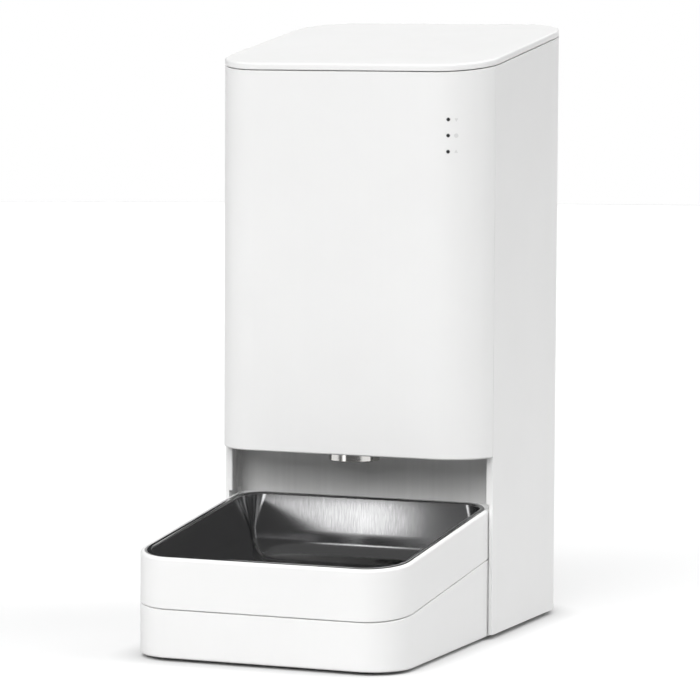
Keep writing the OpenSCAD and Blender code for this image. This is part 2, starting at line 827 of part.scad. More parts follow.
chute_top_y0 = outlet_y0;
module chute_body(grow, extra) {
    hull() {
        chute_slice(outlet_w / 2 + grow, chute_top_y0 - grow, outlet_y1 + grow, deck_z - 0.02 + extra);
        chute_slice(chute_lip[0] + grow, spout_y - chute_lip[1] - grow,
                    spout_y + chute_lip[1] + grow, chute_z + spout_flange_t - extra);
    }
}

module food_chute() color("gainsboro") {
    difference() {
        union() {
            chute_body(chute_t, 0);
            translate([-outlet_w / 2 - chute_flange, deck_front + 0.2, deck_z - chute_flange_t])
                cube([outlet_w + 2 * chute_flange, outlet_y1 - deck_front + 3, chute_flange_t]);
        }
        chute_body(0, 0.05);
        translate([-outlet_w / 2, chute_top_y0, deck_z - chute_flange_t - 0.5])
            cube([outlet_w, outlet_y1 - chute_top_y0, 5]);
    }
}

module outlet_spout() color("silver") {
    difference() {
        union() {
            post([0, spout_y], spout_z, spout_r, chute_z - spout_z + 0.01);
            // flange on the outlet floor
            post([0, spout_y], chute_z, spout_r + spout_flange_w, spout_flange_t);
        }
        post([0, spout_y], spout_z - 1, spout_r - spout_t, chute_z - spout_z + 5);
        // broken inner edge at the mouth
        translate([0, spout_y, spout_z - 0.01])
            cylinder(r1 = spout_r - spout_t + spout_lip, r2 = spout_r - spout_t, h = spout_lip);
    }
}

sensor_t = 1.2;
sensor_l = 14;
sensor_h = 11;
module outlet_sensors() color("darkgreen") {
    // one small board on each side wall of the chute, with its window towards the food
    for (s = [-1, 1])
        translate([s * (outlet_w / 2 + chute_t + 0.3 + sensor_t / 2) - sensor_t / 2,
                   (outlet_y0 + outlet_y1 - sensor_l) / 2, deck_z - chute_flange_t - sensor_h])
            cube([sensor_t, sensor_l, sensor_h]);
}

// ---------- electronics ----------

board_holes = [for (x = [-1, 1], z = [6, board_h - 6]) [x * (board_w / 2 - 6), board_z + z]];

module main_board() color("darkgreen") {
    difference() {
        translate([-board_w / 2, board_y, board_z]) cube([board_w, board_t, board_h]);
        for (b = board_holes) translate([b[0], board_y - 1, b[1]]) rotate([-90, 0, 0])
            cylinder(r = screw_r + 0.15, h = board_t + 2);
    }
}

capacitor_r = 2.6;
capacitor_l = 8;
capacitor_x = 16;
capacitor_pitch = 7;
motor_plug_z = motor_z - motor_pin_l - wire_r - board_z;
ribbon_plug_z = board_h - 5;
plug_t_y = 7;
plug_y = board_y - plug_t_y;
// [x, z, width, height, thickness] of each part on the front of the main board
board_blocks = [[-30, 20, 18, 25, 2.6], [-4, 26, 10, 10, 1.4], [14, 34, 8, 8, 1.2],
                [-30, 42, 14, 5, 5], [0, motor_plug_z, 24, 6, plug_t_y],
                [ribbon_x, ribbon_plug_z, 9, 5, plug_t_y]];
module board_parts() color("darkslategray") {
    for (b = board_blocks) translate([b[0] - b[2] / 2, board_y - b[4], board_z + b[1] - b[3] / 2])
        cube([b[2], b[4], b[3]]);
    for (x = [0, 1]) translate([capacitor_x + x * capacitor_pitch, board_y, board_z + board_h / 2])
        rotate([90, 0, 0]) cylinder(r = capacitor_r, h = capacitor_l);
}

module led_board() color("darkgreen") {
    at_indicator() {
        difference() {
            translate([led_board_r - led_board_t, -led_board_w / 2, -led_board_end])
                cube([led_board_t, led_board_w, 2 * led_board_end]);
            for (z = [-1, 1]) translate([led_board_r - led_board_t - 1, 0, z * led_hole_z])
                rotate([0, 90, 0]) cylinder(r = led_screw_r + 0.15, h = led_board_t + 2);
        }
        for (k = [-1:1]) translate([led_board_r - 0.05, -1, k * led_pitch - 1.6]) cube([1.3, 2, 3.2]);
    }
}

module indicator_lenses() color("black") {
    at_indicator() for (k = [-1:1]) translate([0, 0, k * led_pitch]) rotate([0, 90, 0]) {
        translate([0, 0, corner_r - wall - 1.6]) cylinder(d = led_d, h = wall + 1.5);
        translate([0, 0, corner_r - wall - 1.6]) cylinder(d = led_d + 2 * led_flange, h = 1.2);
    }
}

module power_jack() color("black") {
    translate([jack_x, board_y + board_t, io_z]) difference() {
        union() {
            translate([-5, 0, -6]) cube([10, rear_y - wall - board_y - board_t - 0.2, 11]);
            rotate([-90, 0, 0]) cylinder(r = jack_nose_r, h = rear_y - 0.3 - board_y - board_t);
        }
        translate([0, rear_y - 0.3 - jack_depth - board_y - board_t, 0]) rotate([-90, 0, 0])
            cylinder(d = jack_bore, h = jack_depth + 1);
    }
    // centre pin
    translate([jack_x, rear_y - 0.3 - jack_depth - 0.1, io_z]) rotate([-90, 0, 0])
        cylinder(r = 1, h = jack_depth - 1);
}

button_back = board_y + board_t + 4.7 + button_travel + 0.1;
module feed_button() color("white") {
    translate([button_x, button_back, io_z]) rotate([-90, 0, 0]) {
        cylinder(d = button_d, h = rear_y - 0.3 - button_back);
        translate([0, 0, rear_y - wall - 0.2 - 1.2 - button_back]) cylinder(d = button_d + 3, h = 1.2);
    }
}

module button_switch() color("dimgray") {
    translate([button_x - 3, board_y + board_t, io_z - 3]) cube([6, 3.5, 6]);
    translate([button_x, board_y + board_t + 3.4, io_z]) rotate([-90, 0, 0]) cylinder(r = 1.7, h = 1.3);
}

// ---------- batteries ----------

module battery_box() color("gainsboro") {
    difference() {
        translate([-bay_w / 2 - bay_t, bay_y0 - bay_t, plate_top])
            cube([bay_w + 2 * bay_t, bay_l + 2 * bay_t, bay_h + bay_t]);
        translate([-bay_w / 2, bay_y0, plate_top - 1]) cube([bay_w, bay_l, bay_h + 1]);
    }
    // low ribs between the cells
    for (k = [1:cells - 1]) translate([-bay_w / 2 + k * cell_pitch - 0.7, bay_y0 + 10, plate_top + bay_h - 9])
        cube([1.4, bay_l - 20, 9.1]);
}

module each_cell() {
    for (k = [0:cells - 1]) translate([-bay_w / 2 + (k + 0.5) * cell_pitch, 0, plate_top + bay_h / 2])
        children();
}

module battery_springs() color("silver") each_cell() {
    translate([0, bay_y0, 0]) rotate([-90, 0, 0]) {
        translate([-contact_w / 2, -contact_h / 2, 0]) cube([contact_w, contact_h, contact_t]);
        cylinder(r1 = spring_r, r2 = spring_tip_r, h = contact_room - 0.8);
    }
}

module battery_plates() color("silver") each_cell() {
    translate([-contact_w / 2, bay_y0 + bay_l - contact_t, -contact_h / 2])
        cube([contact_w, contact_t, contact_h]);
}

module battery_door() color("whitesmoke") {
    gap = 0.3;
    translate([-bay_w / 2 - door_lip + gap, bay_y0 - door_lip + gap, tower_lift + 0.2])
        cube([bay_w + 2 * (door_lip - gap), bay_l + 2 * (door_lip - gap), 1.3]);
    // raised field that centres the door in its opening
    translate([-bay_w / 2 + gap, bay_y0 + gap, tower_lift + 0.2])
        cube([bay_w - 2 * gap, bay_l - 2 * gap, plate_t - 0.4]);
}

// ---------- bowl base ----------

base_floor_t = 2.4;
base_seam_gap = 0.5;
base_seam_depth = 0.9;
dock_reach = 14;
tier_drop = tier_h - base_h;
module bowl_base() color("white") {
    difference() {
        intersection() {
            translate([0, 0, base_lift]) linear_extrude(base_h) base_plan();
            rim_slab(-big, tier_drop);
        }
        translate([0, 0, base_lift + base_floor_t]) linear_extrude(base_h) base_plan(base_wall);
        // hairline groove between the tiers
        intersection() {
            translate([0, 0, base_lift]) linear_extrude(base_h) difference() {
                base_plan(-1);
                base_plan(base_seam_depth);
            }
            rim_slab(tier_drop - base_seam_gap, big);
        }
        for (f = base_foot_places) post(f, 0, foot_r + seat_fit, base_lift + 0.8);
    }
    // dock tongue that enters the tower's slot
    translate([-slot_w / 2 + 2 * tongue_gap, base_rear - 1, tongue_z])
        cube([slot_w - 4 * tongue_gap, dock_reach, slot_h - 2 * tongue_gap]);
    // inner lip that centres the upper tier
    for (level = [[-6, -1, -0.5], [-6, 3, seat_fit]]) intersection() {
        translate([0, 0, base_lift]) linear_extrude(2 * base_h) difference() {
            base_plan(base_wall + level[2]);
            base_plan(base_wall + 1.4);
        }
        rim_slab(tier_drop + level[0], tier_drop + level[1]);
    }
}

ledge_t = 2;
module bowl_holder() color("white") {
    intersection() {
        translate([0, 0, base_lift]) linear_extrude(2 * base_h) difference() {
            base_plan();
            base_plan(base_wall);
        }
        rim_slab(tier_drop, 0);
    }
    // ledge that carries the bowl's rim
    intersection() {
        translate([0, 0, base_lift]) linear_extrude(2 * base_h) difference() {
            base_plan(base_wall - 0.5);
            bowl_clear_plan();
        }
        rim_slab(-ledge_drop - ledge_t, -ledge_drop);
    }
}

// Outline that clears the bowl's body
bowl_margin = base_wall + slide_fit + bowl_rim;
bowl_x = base_w / 2 - bowl_margin;
bowl_y0 = base_front + bowl_margin;
bowl_y1 = base_rear - bowl_margin;
module bowl_clear_plan() {
    plan(bowl_x + bowl_t + slide_fit, bowl_y0 - bowl_t - slide_fit, bowl_y1 + bowl_t + slide_fit + 1,
         bowl_r, bowl_r);
}

// Frame of the bowl: origin at the rim's front edge, tilted with the base
bowl_len = (bowl_y1 - bowl_y0) / cos(base_tilt);
bowl_rise = -0.9;
rim_h = 1.8;
ledge_drop = rim_h / cos(base_tilt) - bowl_rise + 0.05;
module in_bowl_frame() {
    translate([0, bowl_y0, base_h + bowl_margin * tan(base_tilt) + bowl_rise])
        rotate([base_tilt, 0, 0]) children();
}

// One slice of the bowl at a depth, drawn in by some distance
module bowl_slice(depth, inset, r) {
    translate([0, 0, -depth]) linear_extrude(0.02)
        plan(bowl_x - inset, inset, bowl_len - inset, r, r, $fn = 32);
}

module bowl_form(grow, floor_lift) {
    soft = 12;
    hull() {
        bowl_slice(0, -grow, bowl_r + grow);
        bowl_slice(bowl_depth - soft, bowl_taper * 0.7 - grow, bowl_r + grow - 1);
        bowl_slice(bowl_depth - soft * 0.45, bowl_taper + soft * 0.12 - grow, bowl_r + grow - 3);
        bowl_slice(bowl_depth - soft * 0.12, bowl_taper + soft * 0.45 - grow, bowl_r + grow - 5);
        bowl_slice(bowl_depth - floor_lift, bowl_taper + soft - grow, bowl_r + grow - 8);
    }
}

module steel_bowl() color("silver") in_bowl_frame() {
    difference() {
        union() {
            bowl_form(bowl_t, 0);
            // rolled rim
            translate([0, 0, -rim_h]) linear_extrude(rim_h + 0.02) plan(bowl_x + bowl_rim, -bowl_rim,
                bowl_len + bowl_rim, bowl_r + bowl_rim, bowl_r + bowl_rim, $fn = 32);
        }
        translate([0, 0, 0.02]) bowl_form(0, bowl_t);
        translate([0, 0, -rim_h - 0.01]) linear_extrude(rim_h - bowl_t) difference() {
            plan(bowl_x + bowl_rim - bowl_t, -bowl_rim + bowl_t, bowl_len + bowl_rim - bowl_t,
                 bowl_r + bowl_rim - bowl_t, bowl_r + bowl_rim - bowl_t, $fn = 32);
            plan(bowl_x + bowl_t, -bowl_t, bowl_len + bowl_t, bowl_r + bowl_t, bowl_r + bowl_t, $fn = 32);
        }
    }
}

// ---------- feet and fasteners ----------

foot_r = 7;
foot_clear = 6;
base_foot_x = base_w / 2 - base_r + 1;
base_foot_places = [for (x = [-1, 1], y = [base_front + 2 * foot_r, base_rear - foot_clear - foot_r - 3])
    [x * base_foot_x, y]];
// the front pair stands ahead of the battery door, the rear pair beside it
front_foot = [column_x - 2 * foot_r - 1.4, panel_y + panel_t + foot_r + 1.4];
rear_foot = [column_x - foot_r - 0.4, rear_y - foot_clear - foot_r];
tower_foot_places = [for (x = [-1, 1], q = [front_foot, rear_foot]) [x * q[0], q[1]]];

module base_feet() color("dimgray") {
    for (f = base_foot_places) post(f, 0, foot_r, base_lift + 0.8);
}

module tower_feet() color("dimgray") {
    for (f = tower_foot_places) post(f, 0, foot_r, tower_lift + 1);
}

module case_screws() color("silver") {
    for (c = columns) translate([c[0], c[1], plate_top - screw_seat]) mirror([0, 0, 1]) screw();
}

module deck_screws() color("silver") {
    for (c = columns) translate([c[0], c[1], bin_z - screw_head_h - 0.2]) screw();
}

module drive_screws() color("silver") {
    for (p = post_places) translate([p[0], p[1], cover_plate_z]) mirror([0, 0, 1]) screw();
    for (s = [-1, 1]) translate([s * 8.5, motor_y, cover_plate_z + cover_plate_t - screw_head_h - 0.1])
        screw(6);
}

module board_screws() color("silver") {
    for (b = board_holes) translate([b[0], board_y, b[1]]) rotate([90, 0, 0]) screw(board_screw_len);
    at_indicator() for (z = [-1, 1]) translate([led_board_r - led_board_t, 0, z * led_hole_z])
        rotate([0, -90, 0]) {
            cylinder(r = 2 * led_screw_r, h = 1.1);
            translate([0, 0, -4]) cylinder(r = led_screw_r, h = 4.1);
        }
}

// Leads: a flat ribbon up to the indicator board and round leads to the motor
module wire_harness() color("black") {
    for (s = [-1, 1]) translate([s * motor_pin_x, motor_y, motor_z - motor_pin_l - wire_r])
        rotate([-90, 0, 0]) cylinder(r = wire_r, h = plug_y - motor_y);
    // up from the main board, forward under the deck, across, and up to the indicator board
    translate([ribbon_x - ribbon_w / 2, plug_y - ribbon_t, board_z + ribbon_plug_z - ribbon_w / 3])
        cube([ribbon_w, ribbon_t, deck_z - board_z - ribbon_plug_z + ribbon_w / 3]);
    translate([ribbon_x - ribbon_w / 2, ribbon_y, deck_z - ribbon_t])
        cube([ribbon_w, plug_y - ribbon_y, ribbon_t]);
    translate([ribbon_x - ribbon_w / 2, ribbon_y, deck_z - ribbon_t])
        cube([ribbon_end_x - ribbon_x + ribbon_w, ribbon_t, ribbon_w]);
    translate([ribbon_end_x - ribbon_w / 2, ribbon_y, deck_z - ribbon_t])
        cube([ribbon_w, ribbon_t, led_z - led_board_end - deck_z + ribbon_t]);
}

outer_shell();
front_cover();
recess_panel();
outlet_floor();
bottom_plate();
chassis();
top_frame();
lid();
lid_seal();
desiccant_box();
desiccant_cover();
desiccant_pack();
food_bin();
wheel_housing();
flow_baffle();
portion_wheel();
wheel_wipers();
stirrer();
drive_gear();
motor_pinion();
motor_shaft();
gearbox();
motor();
gear_cover();
food_chute();
outlet_spout();
outlet_sensors();
main_board();
board_parts();
led_board();
indicator_lenses();
power_jack();
feed_button();
button_switch();
battery_box();
battery_springs();
battery_plates();
battery_door();
bowl_base();
bowl_holder();
steel_bowl();
base_feet();
tower_feet();
case_screws();
deck_screws();
drive_screws();
board_screws();
wire_harness();
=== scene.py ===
"""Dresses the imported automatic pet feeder: smooth mouldings, steel bowl, rubber, boards and screws,
with procedural finishes, a pale studio and a camera. Laid out as an add-on and run as a script."""

import json
import math
from types import SimpleNamespace

import bmesh
import bpy
from bpy.props import FloatProperty, FloatVectorProperty, IntProperty, PointerProperty
from mathutils import Matrix, Vector


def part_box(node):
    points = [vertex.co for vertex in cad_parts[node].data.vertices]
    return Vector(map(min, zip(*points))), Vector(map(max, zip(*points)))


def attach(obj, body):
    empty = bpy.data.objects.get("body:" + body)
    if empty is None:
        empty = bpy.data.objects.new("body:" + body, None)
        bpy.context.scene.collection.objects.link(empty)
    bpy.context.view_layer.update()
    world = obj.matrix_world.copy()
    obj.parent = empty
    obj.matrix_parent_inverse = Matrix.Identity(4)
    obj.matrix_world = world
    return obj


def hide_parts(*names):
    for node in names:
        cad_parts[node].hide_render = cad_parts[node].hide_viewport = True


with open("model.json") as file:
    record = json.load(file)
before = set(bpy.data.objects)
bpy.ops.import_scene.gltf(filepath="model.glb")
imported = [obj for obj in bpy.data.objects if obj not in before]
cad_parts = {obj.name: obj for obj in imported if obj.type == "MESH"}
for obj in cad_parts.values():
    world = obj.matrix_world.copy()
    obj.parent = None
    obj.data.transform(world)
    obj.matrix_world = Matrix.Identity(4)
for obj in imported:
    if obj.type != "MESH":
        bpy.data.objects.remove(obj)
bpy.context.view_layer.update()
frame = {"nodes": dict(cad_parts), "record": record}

bl_info = {
    "name": "Pet feeder dressing",
    "version": (1, 0, 0),
    "blender": (4, 5, 0),
    "location": "View3D > Sidebar > Feeder",
    "description": "Builds the finished skins, bowl, fasteners and finishes of a pet feeder on its CAD frame",
    "category": "Object",
}

MM = 0.001


def low(node):
    """Lowest corner of a CAD node, in millimetres."""
    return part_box(node)[0] / MM


def high(node):
    """Highest corner of a CAD node, in millimetres."""
    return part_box(node)[1] / MM


# ---------- values a user would change ----------


def length(name, description, default, least=0.0, most=1.0):
    """A length in metres whose default is given in millimetres."""
    return FloatProperty(
        name=name, description=description, default=default * MM, min=least * MM, max=most, unit="LENGTH",
        precision=5,
    )


def angle(name, description, default):
    """An angle whose default is given in degrees."""
    return FloatProperty(
        name=name, description=description, default=math.radians(default), min=0, max=math.pi, subtype="ANGLE",
    )


def colour(name, description, default):
    return FloatVectorProperty(
        name=name, description=description, default=default, size=3, min=0, max=1, subtype="COLOR",
    )


class FeederSizes(bpy.types.PropertyGroup):
    """Sizes of the finished pieces."""

    wall: length("Wall", "Wall of the outer shell and the front cover", 2.6)
    corner: length("Corner radius", "Radius of the tower's upright corners", 29.5)
    tilt: angle("Lid tilt", "Rise of the lid towards the rear", 8.4)
    lid_t: length("Lid thickness", "Thickness of the lid at its edge", 3.8)
    seam_gap: length("Lid seam", "Hairline gap under the lid", 0.6)
    crisp: length("Crisp edge", "Rounding of the mouldings' crisp edges", 0.35)
    soft: length("Soft edge", "Rounding of the lid's and the cover's soft edges", 1.1)
    base_corner: length("Base corner", "Radius of the base's front corners", 24)
    base_h: length("Base height", "Height of the base's rim at the front", 57.8)
    tier_h: length("Tier height", "Height of the seam between the two tiers at the front", 29.4)
    base_tilt: angle("Base tilt", "Rise of the base towards the rear", 7.1)
    base_wall: length("Base wall", "Wall of both tiers", 2.4)
    rim_round: length("Rim rounding", "Rounding of the base's upper outer edge", 1.7)
    bowl_t: length("Bowl sheet", "Sheet thickness of the bowl", 0.8)
    bowl_depth: length("Bowl depth", "Depth of the bowl below its rim", 38)
    bowl_corner: length("Bowl corner", "Corner radius of the bowl's opening", 20)
    bowl_taper: length("Bowl taper", "How far the bowl's sides draw in over its depth", 5)
    bowl_fillet: length("Bowl fillet", "Radius between the bowl's sides and its floor", 14)
    spout_r: length("Spout radius", "Outer radius of the outlet nozzle", 14.8)
    spout_t: length("Spout wall", "Wall of the outlet nozzle", 1)
    dot_d: length("Dot", "Diameter of an indicator dot", 2.1)
    screw_head: length("Screw head", "Radius of a screw's head", 2.9)
    screw_shank: length("Screw shank", "Radius of a screw's shank", 1.5)
    spring_wire: length("Spring wire", "Thickness of a contact spring's wire", 0.7)
    spring_turns: FloatProperty(
        name="Spring turns", description="Turns of a contact spring", default=4, min=1, max=12,
    )
    corner_steps: IntProperty(
        name="Corner steps", description="Faces round each corner", default=24, min=6, max=64,
    )


class FeederColours(bpy.types.PropertyGroup):
    """Colours of the finishes."""

    white: colour("White plastic", "Outer mouldings", (0.90, 0.90, 0.895))
    inner: colour("Inner plastic", "Panels and inner mouldings", (0.8, 0.8, 0.795))
    bin: colour("Bin plastic", "Food bin and wheel housing", (0.72, 0.74, 0.75))
    wheel: colour("Wheel plastic", "Portion wheel and stirrer", (0.42, 0.52, 0.58))
    gear: colour("Gear plastic", "Drive gear", (0.78, 0.74, 0.62))
    dark: colour("Dark plastic", "Inlet, dots and blocks", (0.018, 0.018, 0.02))
    steel: colour("Bowl steel", "Brushed bowl", (0.52, 0.52, 0.525))
    bright: colour("Bright metal", "Screws, springs and shafts", (0.66, 0.65, 0.63))
    brass: colour("Brass", "Motor pinion", (0.74, 0.55, 0.26))
    board: colour("Board", "Circuit boards", (0.012, 0.085, 0.04))
    rubber: colour("Rubber", "Feet and wipers", (0.06, 0.06, 0.063))
    seal: colour("Seal", "Lid seal", (0.55, 0.55, 0.56))
    sachet: colour("Sachet", "Desiccant sachet", (0.80, 0.78, 0.73))
    floor: colour("Floor", "Studio floor and backdrop", (0.48, 0.48, 0.48))


def measures(context):
    """All sizes in millimetres, with the places that follow from the frame."""
    p = context.scene.feeder_sizes
    m = SimpleNamespace(
        **{
            k: getattr(p, k) / MM
            for k in (
                "wall", "corner", "lid_t", "seam_gap", "crisp", "soft", "base_corner", "base_h", "tier_h",
                "base_wall", "rim_round", "bowl_t", "bowl_depth", "bowl_corner", "bowl_taper", "bowl_fillet",
                "spout_r", "spout_t", "dot_d", "screw_head", "screw_shank", "spring_wire",
            )
        },
        tilt=p.tilt, base_tilt=p.base_tilt, spring_turns=p.spring_turns, steps=p.corner_steps,
    )
    m.half = high("outer_shell").x
    m.seam_y = low("outer_shell").y
    m.rear_y = high("outer_shell").y
    m.lift = low("outer_shell").z
    m.front_y = low("front_cover").y
    m.cover_y = high("lid").y - (m.rear_y - m.seam_y) - 0.15
    m.overhang = low("front_cover").z
    m.seam_h = high("outer_shell").z - (m.rear_y - m.front_y) * math.tan(m.tilt)
    m.cheek = m.half - m.wall
    m.axis = Vector((m.half - m.corner, m.front_y + m.corner))
    m.base_half = high("bowl_holder").x
    m.base_front = low("bowl_holder").y
    m.base_rear = high("bowl_holder").y
    m.base_low = low("bowl_base").z
    m.rear_corner = 4  # of the base
    m.bowl_margin = m.base_wall + 0.4 + 3  # wall, clearance and rim outside the bowl's opening
    m.bowl_proud = 0.1
    m.bowl_rear = 13  # rear corner radius of the bowl
    m.cheek_round = (0.3, 0.5)  # rounding of the shell's front ends, across and along
    m.cheek_lip = 2.0
    m.bin_rim, m.bin_wall, m.bin_corner = 2.6, 2.2, 22
    m.plate_top = high("bottom_plate").z
    m.deck = low("chassis").z
    m.deck_top = high("chassis").z
    return m


def lid_plane(m, y, up=0.0):
    """Height above the ground of the lid seam's plane, raised by some amount."""
    return m.seam_h + (y - m.front_y) * math.tan(m.tilt) + up


def rim_plane(m, y, up=0.0):
    """Height above the ground of the bowl rim's plane, raised by some amount."""
    return m.base_h + (y - m.base_front) * math.tan(m.base_tilt) + up


# ---------- mesh building, in millimetres ----------


def rounded(half, y0, y1, front, rear, steps):
    """Points of a rounded rectangle seen from above, anticlockwise from the front right corner."""
    points = []
    corners = (
        (half - front, y0 + front, front, -90),
        (half - rear, y1 - rear, rear, 0),
        (-half + rear, y1 - rear, rear, 90),
        (-half + front, y0 + front, front, 180),
    )
    for cx, cy, r, start in corners:
        for i in range(steps + 1):
            a = math.radians(start + 90 * i / steps)
            points.append((cx + r * math.cos(a), cy + r * math.sin(a)))
    return points


def inset_ring(half, y0, y1, front, rear, steps, inset):
    """A rounded rectangle drawn in on every side, its corners kept from closing."""
    front, rear = (max(0.2, radius - inset) for radius in (front, rear))
    return rounded(half - inset, y0 + inset, y1 - inset, front, rear, steps)


def arc(x, z, across, up, degrees):
    """Points of an arc about (x, z); a radius below zero mirrors it."""
    return [(x + across * math.cos(math.radians(a)), z + up * math.sin(math.radians(a))) for a in degrees]


def loft(bm, rings, loop=False):
    """Skin through rings of equal count; the last ring is joined to the first, or both are closed."""
    rows = [[bm.verts.new(p) for p in ring] for ring in rings]
    count = len(rows[0])
    pairs = list(zip(rows, rows[1:]))
    if loop:
        pairs.append((rows[-1], rows[0]))
    for a, b in pairs:
        for i in range(count):
            j = (i + 1) % count
            bm.faces.new((a[i], a[j], b[j], b[i]))
    if not loop:
        bm.faces.new(list(reversed(rows[0])))
        bm.faces.new(rows[-1])


def lift_ring(ring, height):
    """A flat ring raised to a height, which is a number or a function of y."""
    return [(x, y, height(y) if callable(height) else height) for x, y in ring]


def box(bm, a, b):
    """Closed box between two corners."""
    loft(bm, [lift_ring(((a[0], a[1]), (b[0], a[1]), (b[0], b[1]), (a[0], b[1])), z) for z in (a[2], b[2])])


def side_box(bm, side, x, y, z):
    """Closed box on the side that the sign gives, between two values of each of x, y and z."""
    a, b = sorted((side * x[0], side * x[1]))
    box(bm, (a, y[0], z[0]), (b, y[1], z[1]))


def side_pad(m, bm, side, x, y, raised):
    """Box like side_box(), whose ends lie along the lid's plane, raised by two amounts."""
    a, b = sorted((side * x[0], side * x[1]))
    plan = [(a, y[0]), (b, y[0]), (b, y[1]), (a, y[1])]
    loft(bm, [on_lid_plane(m, plan, k) for k in raised])


def circle(radius, z, steps):
    """Points of a level circle about Z."""
    turns = (2 * math.pi * i / steps for i in range(steps))
    return [Vector((radius * math.cos(a), radius * math.sin(a), z)) for a in turns]


def turned(bm, profile, place, steps=32):
    """Solid of revolution about Z from (radius, height) points, closed at both ends."""
    loft(bm, [[place @ p for p in circle(r, z, steps)] for r, z in profile])


def on_lid_plane(m, ring, up):
    """A flat ring raised to the lid seam's plane and some amount above it."""
    return lift_ring(ring, lambda y: lid_plane(m, y, up))


def mesh_of(name, bm):
    """A mesh in metres from a bmesh in millimetres, with outward faces."""
    bmesh.ops.remove_doubles(bm, verts=bm.verts, dist=1e-4)
    bmesh.ops.recalc_face_normals(bm, faces=bm.faces)
    bmesh.ops.scale(bm, vec=(MM, MM, MM), verts=bm.verts)
    mesh = bpy.data.meshes.new(name)
    bm.to_mesh(mesh)
    bm.free()
    return mesh


def round_edges(bm, radius, segments, pick):
    """Rounds the sharp edges that pick() chooses."""
    bm.normal_update()
    edges = [e for e in bm.edges if len(e.link_faces) == 2 and e.calc_face_angle(0) > 0.6 and pick(e)]
    if edges:
        bmesh.ops.bevel(
            bm, geom=edges, offset=radius, segments=segments, profile=0.5, affect="EDGES", clamp_overlap=True,
        )


def plain(obj):
    """Replaces an object's mesh by its evaluated one and drops the modifiers."""
    bpy.context.view_layer.update()
    depsgraph = bpy.context.evaluated_depsgraph_get()
    mesh = bpy.data.meshes.new_from_object(
        obj.evaluated_get(depsgraph), preserve_all_data_layers=True, depsgraph=depsgraph
    )
    obj.modifiers.clear()
    old = obj.data
    obj.data = mesh
    mesh.name = obj.name
    if old.users == 0:
        bpy.data.meshes.remove(old)


def linked(name, data):
    """A new object of the scene."""
    obj = bpy.data.objects.new(name, data)
    bpy.context.scene.collection.objects.link(obj)
    return obj


def piece(name, bm, slot, body, replaced=(), cuts=None, edge=0.0, segments=2, smooth=True):
    """Finished piece: openings cut, edges rounded, weighted normals, its finish, body and nodes."""
    obj = linked(name, mesh_of(name, bm))
    obj.data.materials.append(finish(slot))
    cutter = None
    if cuts is not None:
        cutter = linked(name + "_cut", mesh_of(name + "_cut", cuts))
        cut = obj.modifiers.new("Openings", "BOOLEAN")
        cut.operation = "DIFFERENCE"
        cut.solver = "EXACT"
        cut.object = cutter
    if edge:
        bevel = obj.modifiers.new("Edges", "BEVEL")
        bevel.width = edge * MM
        bevel.segments = segments
        bevel.limit_method = "ANGLE"
        bevel.angle_limit = math.radians(40)
        bevel.use_clamp_overlap = True
        bevel.miter_outer = "MITER_ARC"
    if smooth:
        obj.data.shade_smooth()
        weighted = obj.modifiers.new("Normals", "WEIGHTED_NORMAL")
        weighted.keep_sharp = True
        weighted.weight = 80
    plain(obj)
    if cutter:
        bpy.data.objects.remove(cutter)
    return own(obj, body, replaced)


def own(obj, body, replaced=()):
    """Gives a piece its body and the CAD nodes that it stands for."""
    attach(obj, body)
    if replaced:
        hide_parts(*replaced)
    return obj


# ---------- node building ----------


def feed(tree, socket, value):
    """Links an output, or a node's first output, to an input, or sets the input's value."""
    if isinstance(value, bpy.types.Node):
        value = value.outputs[0]
    if isinstance(value, bpy.types.NodeSocket):
        tree.links.new(value, socket)
    else:
        socket.default_value = value


def fill(tree, node, **values):
    """Sets or links a node's inputs by name."""
    for key, value in values.items():
        feed(tree, node.inputs[key.replace("_", " ")], value)


def add(tree, kind, **values):
    """A node with its attributes set, and its inputs set or linked, by name."""
    node = tree.nodes.new(kind)
    for key, value in values.items():
        if hasattr(node, key) and key not in node.inputs:
            setattr(node, key, value)
        else:
            fill(tree, node, **{key: value})
    return node


def socket_kind(value):
    """Socket type of a default value; a string is the type itself."""
    if isinstance(value, str):
        return value
    if isinstance(value, tuple):
        return "NodeSocketVector" if len(value) == 3 else "NodeSocketColor"
    return "NodeSocketInt" if isinstance(value, int) else "NodeSocketFloat"


def open_tree(name, kind, inputs, outputs):
    """A node group with named sockets; returns it with what it is given and the sockets of its end."""
    tree = bpy.data.node_groups.new(name, kind)
    for in_out, sockets in (("OUTPUT", outputs), ("INPUT", inputs)):
        for label, value in sockets.items():
            socket = tree.interface.new_socket(name=label, in_out=in_out, socket_type=socket_kind(value))
            if not isinstance(value, str):
                socket.default_value = value
    return tree, tree.nodes.new("NodeGroupInput").outputs, tree.nodes.new("NodeGroupOutput").inputs


def math_node(tree, operation, a, b=0.0, kind="ShaderNodeMath"):
    node = add(tree, kind, operation=operation)
    feed(tree, node.inputs[0], a)
    feed(tree, node.inputs[1], b)
    return node.outputs[0]


def scaled(tree, a, b):
    return math_node(tree, "MULTIPLY", a, b)


def mix_colour(tree, a, b, factor):
    node = add(tree, "ShaderNodeMix", data_type="RGBA")
    for index, value in ((0, factor), (6, a), (7, b)):
        feed(tree, node.inputs[index], value)
    return node.outputs[2]


def spread(tree, source, least=0.0, most=1.0, across=(0.3, 0.7)):
    """Maps a part of a value's range, for noise its middle, to another range."""
    return add(tree, "ShaderNodeMapRange", Value=source, From_Min=across[0], From_Max=across[1], To_Min=least,
               To_Max=most).outputs[0]


def place_of(tree):
    return add(tree, "ShaderNodeTexCoord").outputs["Object"]


def noise(tree, where, **values):
    return add(tree, "ShaderNodeTexNoise", Vector=where, **values).outputs["Fac"]


# ---------- finishes ----------


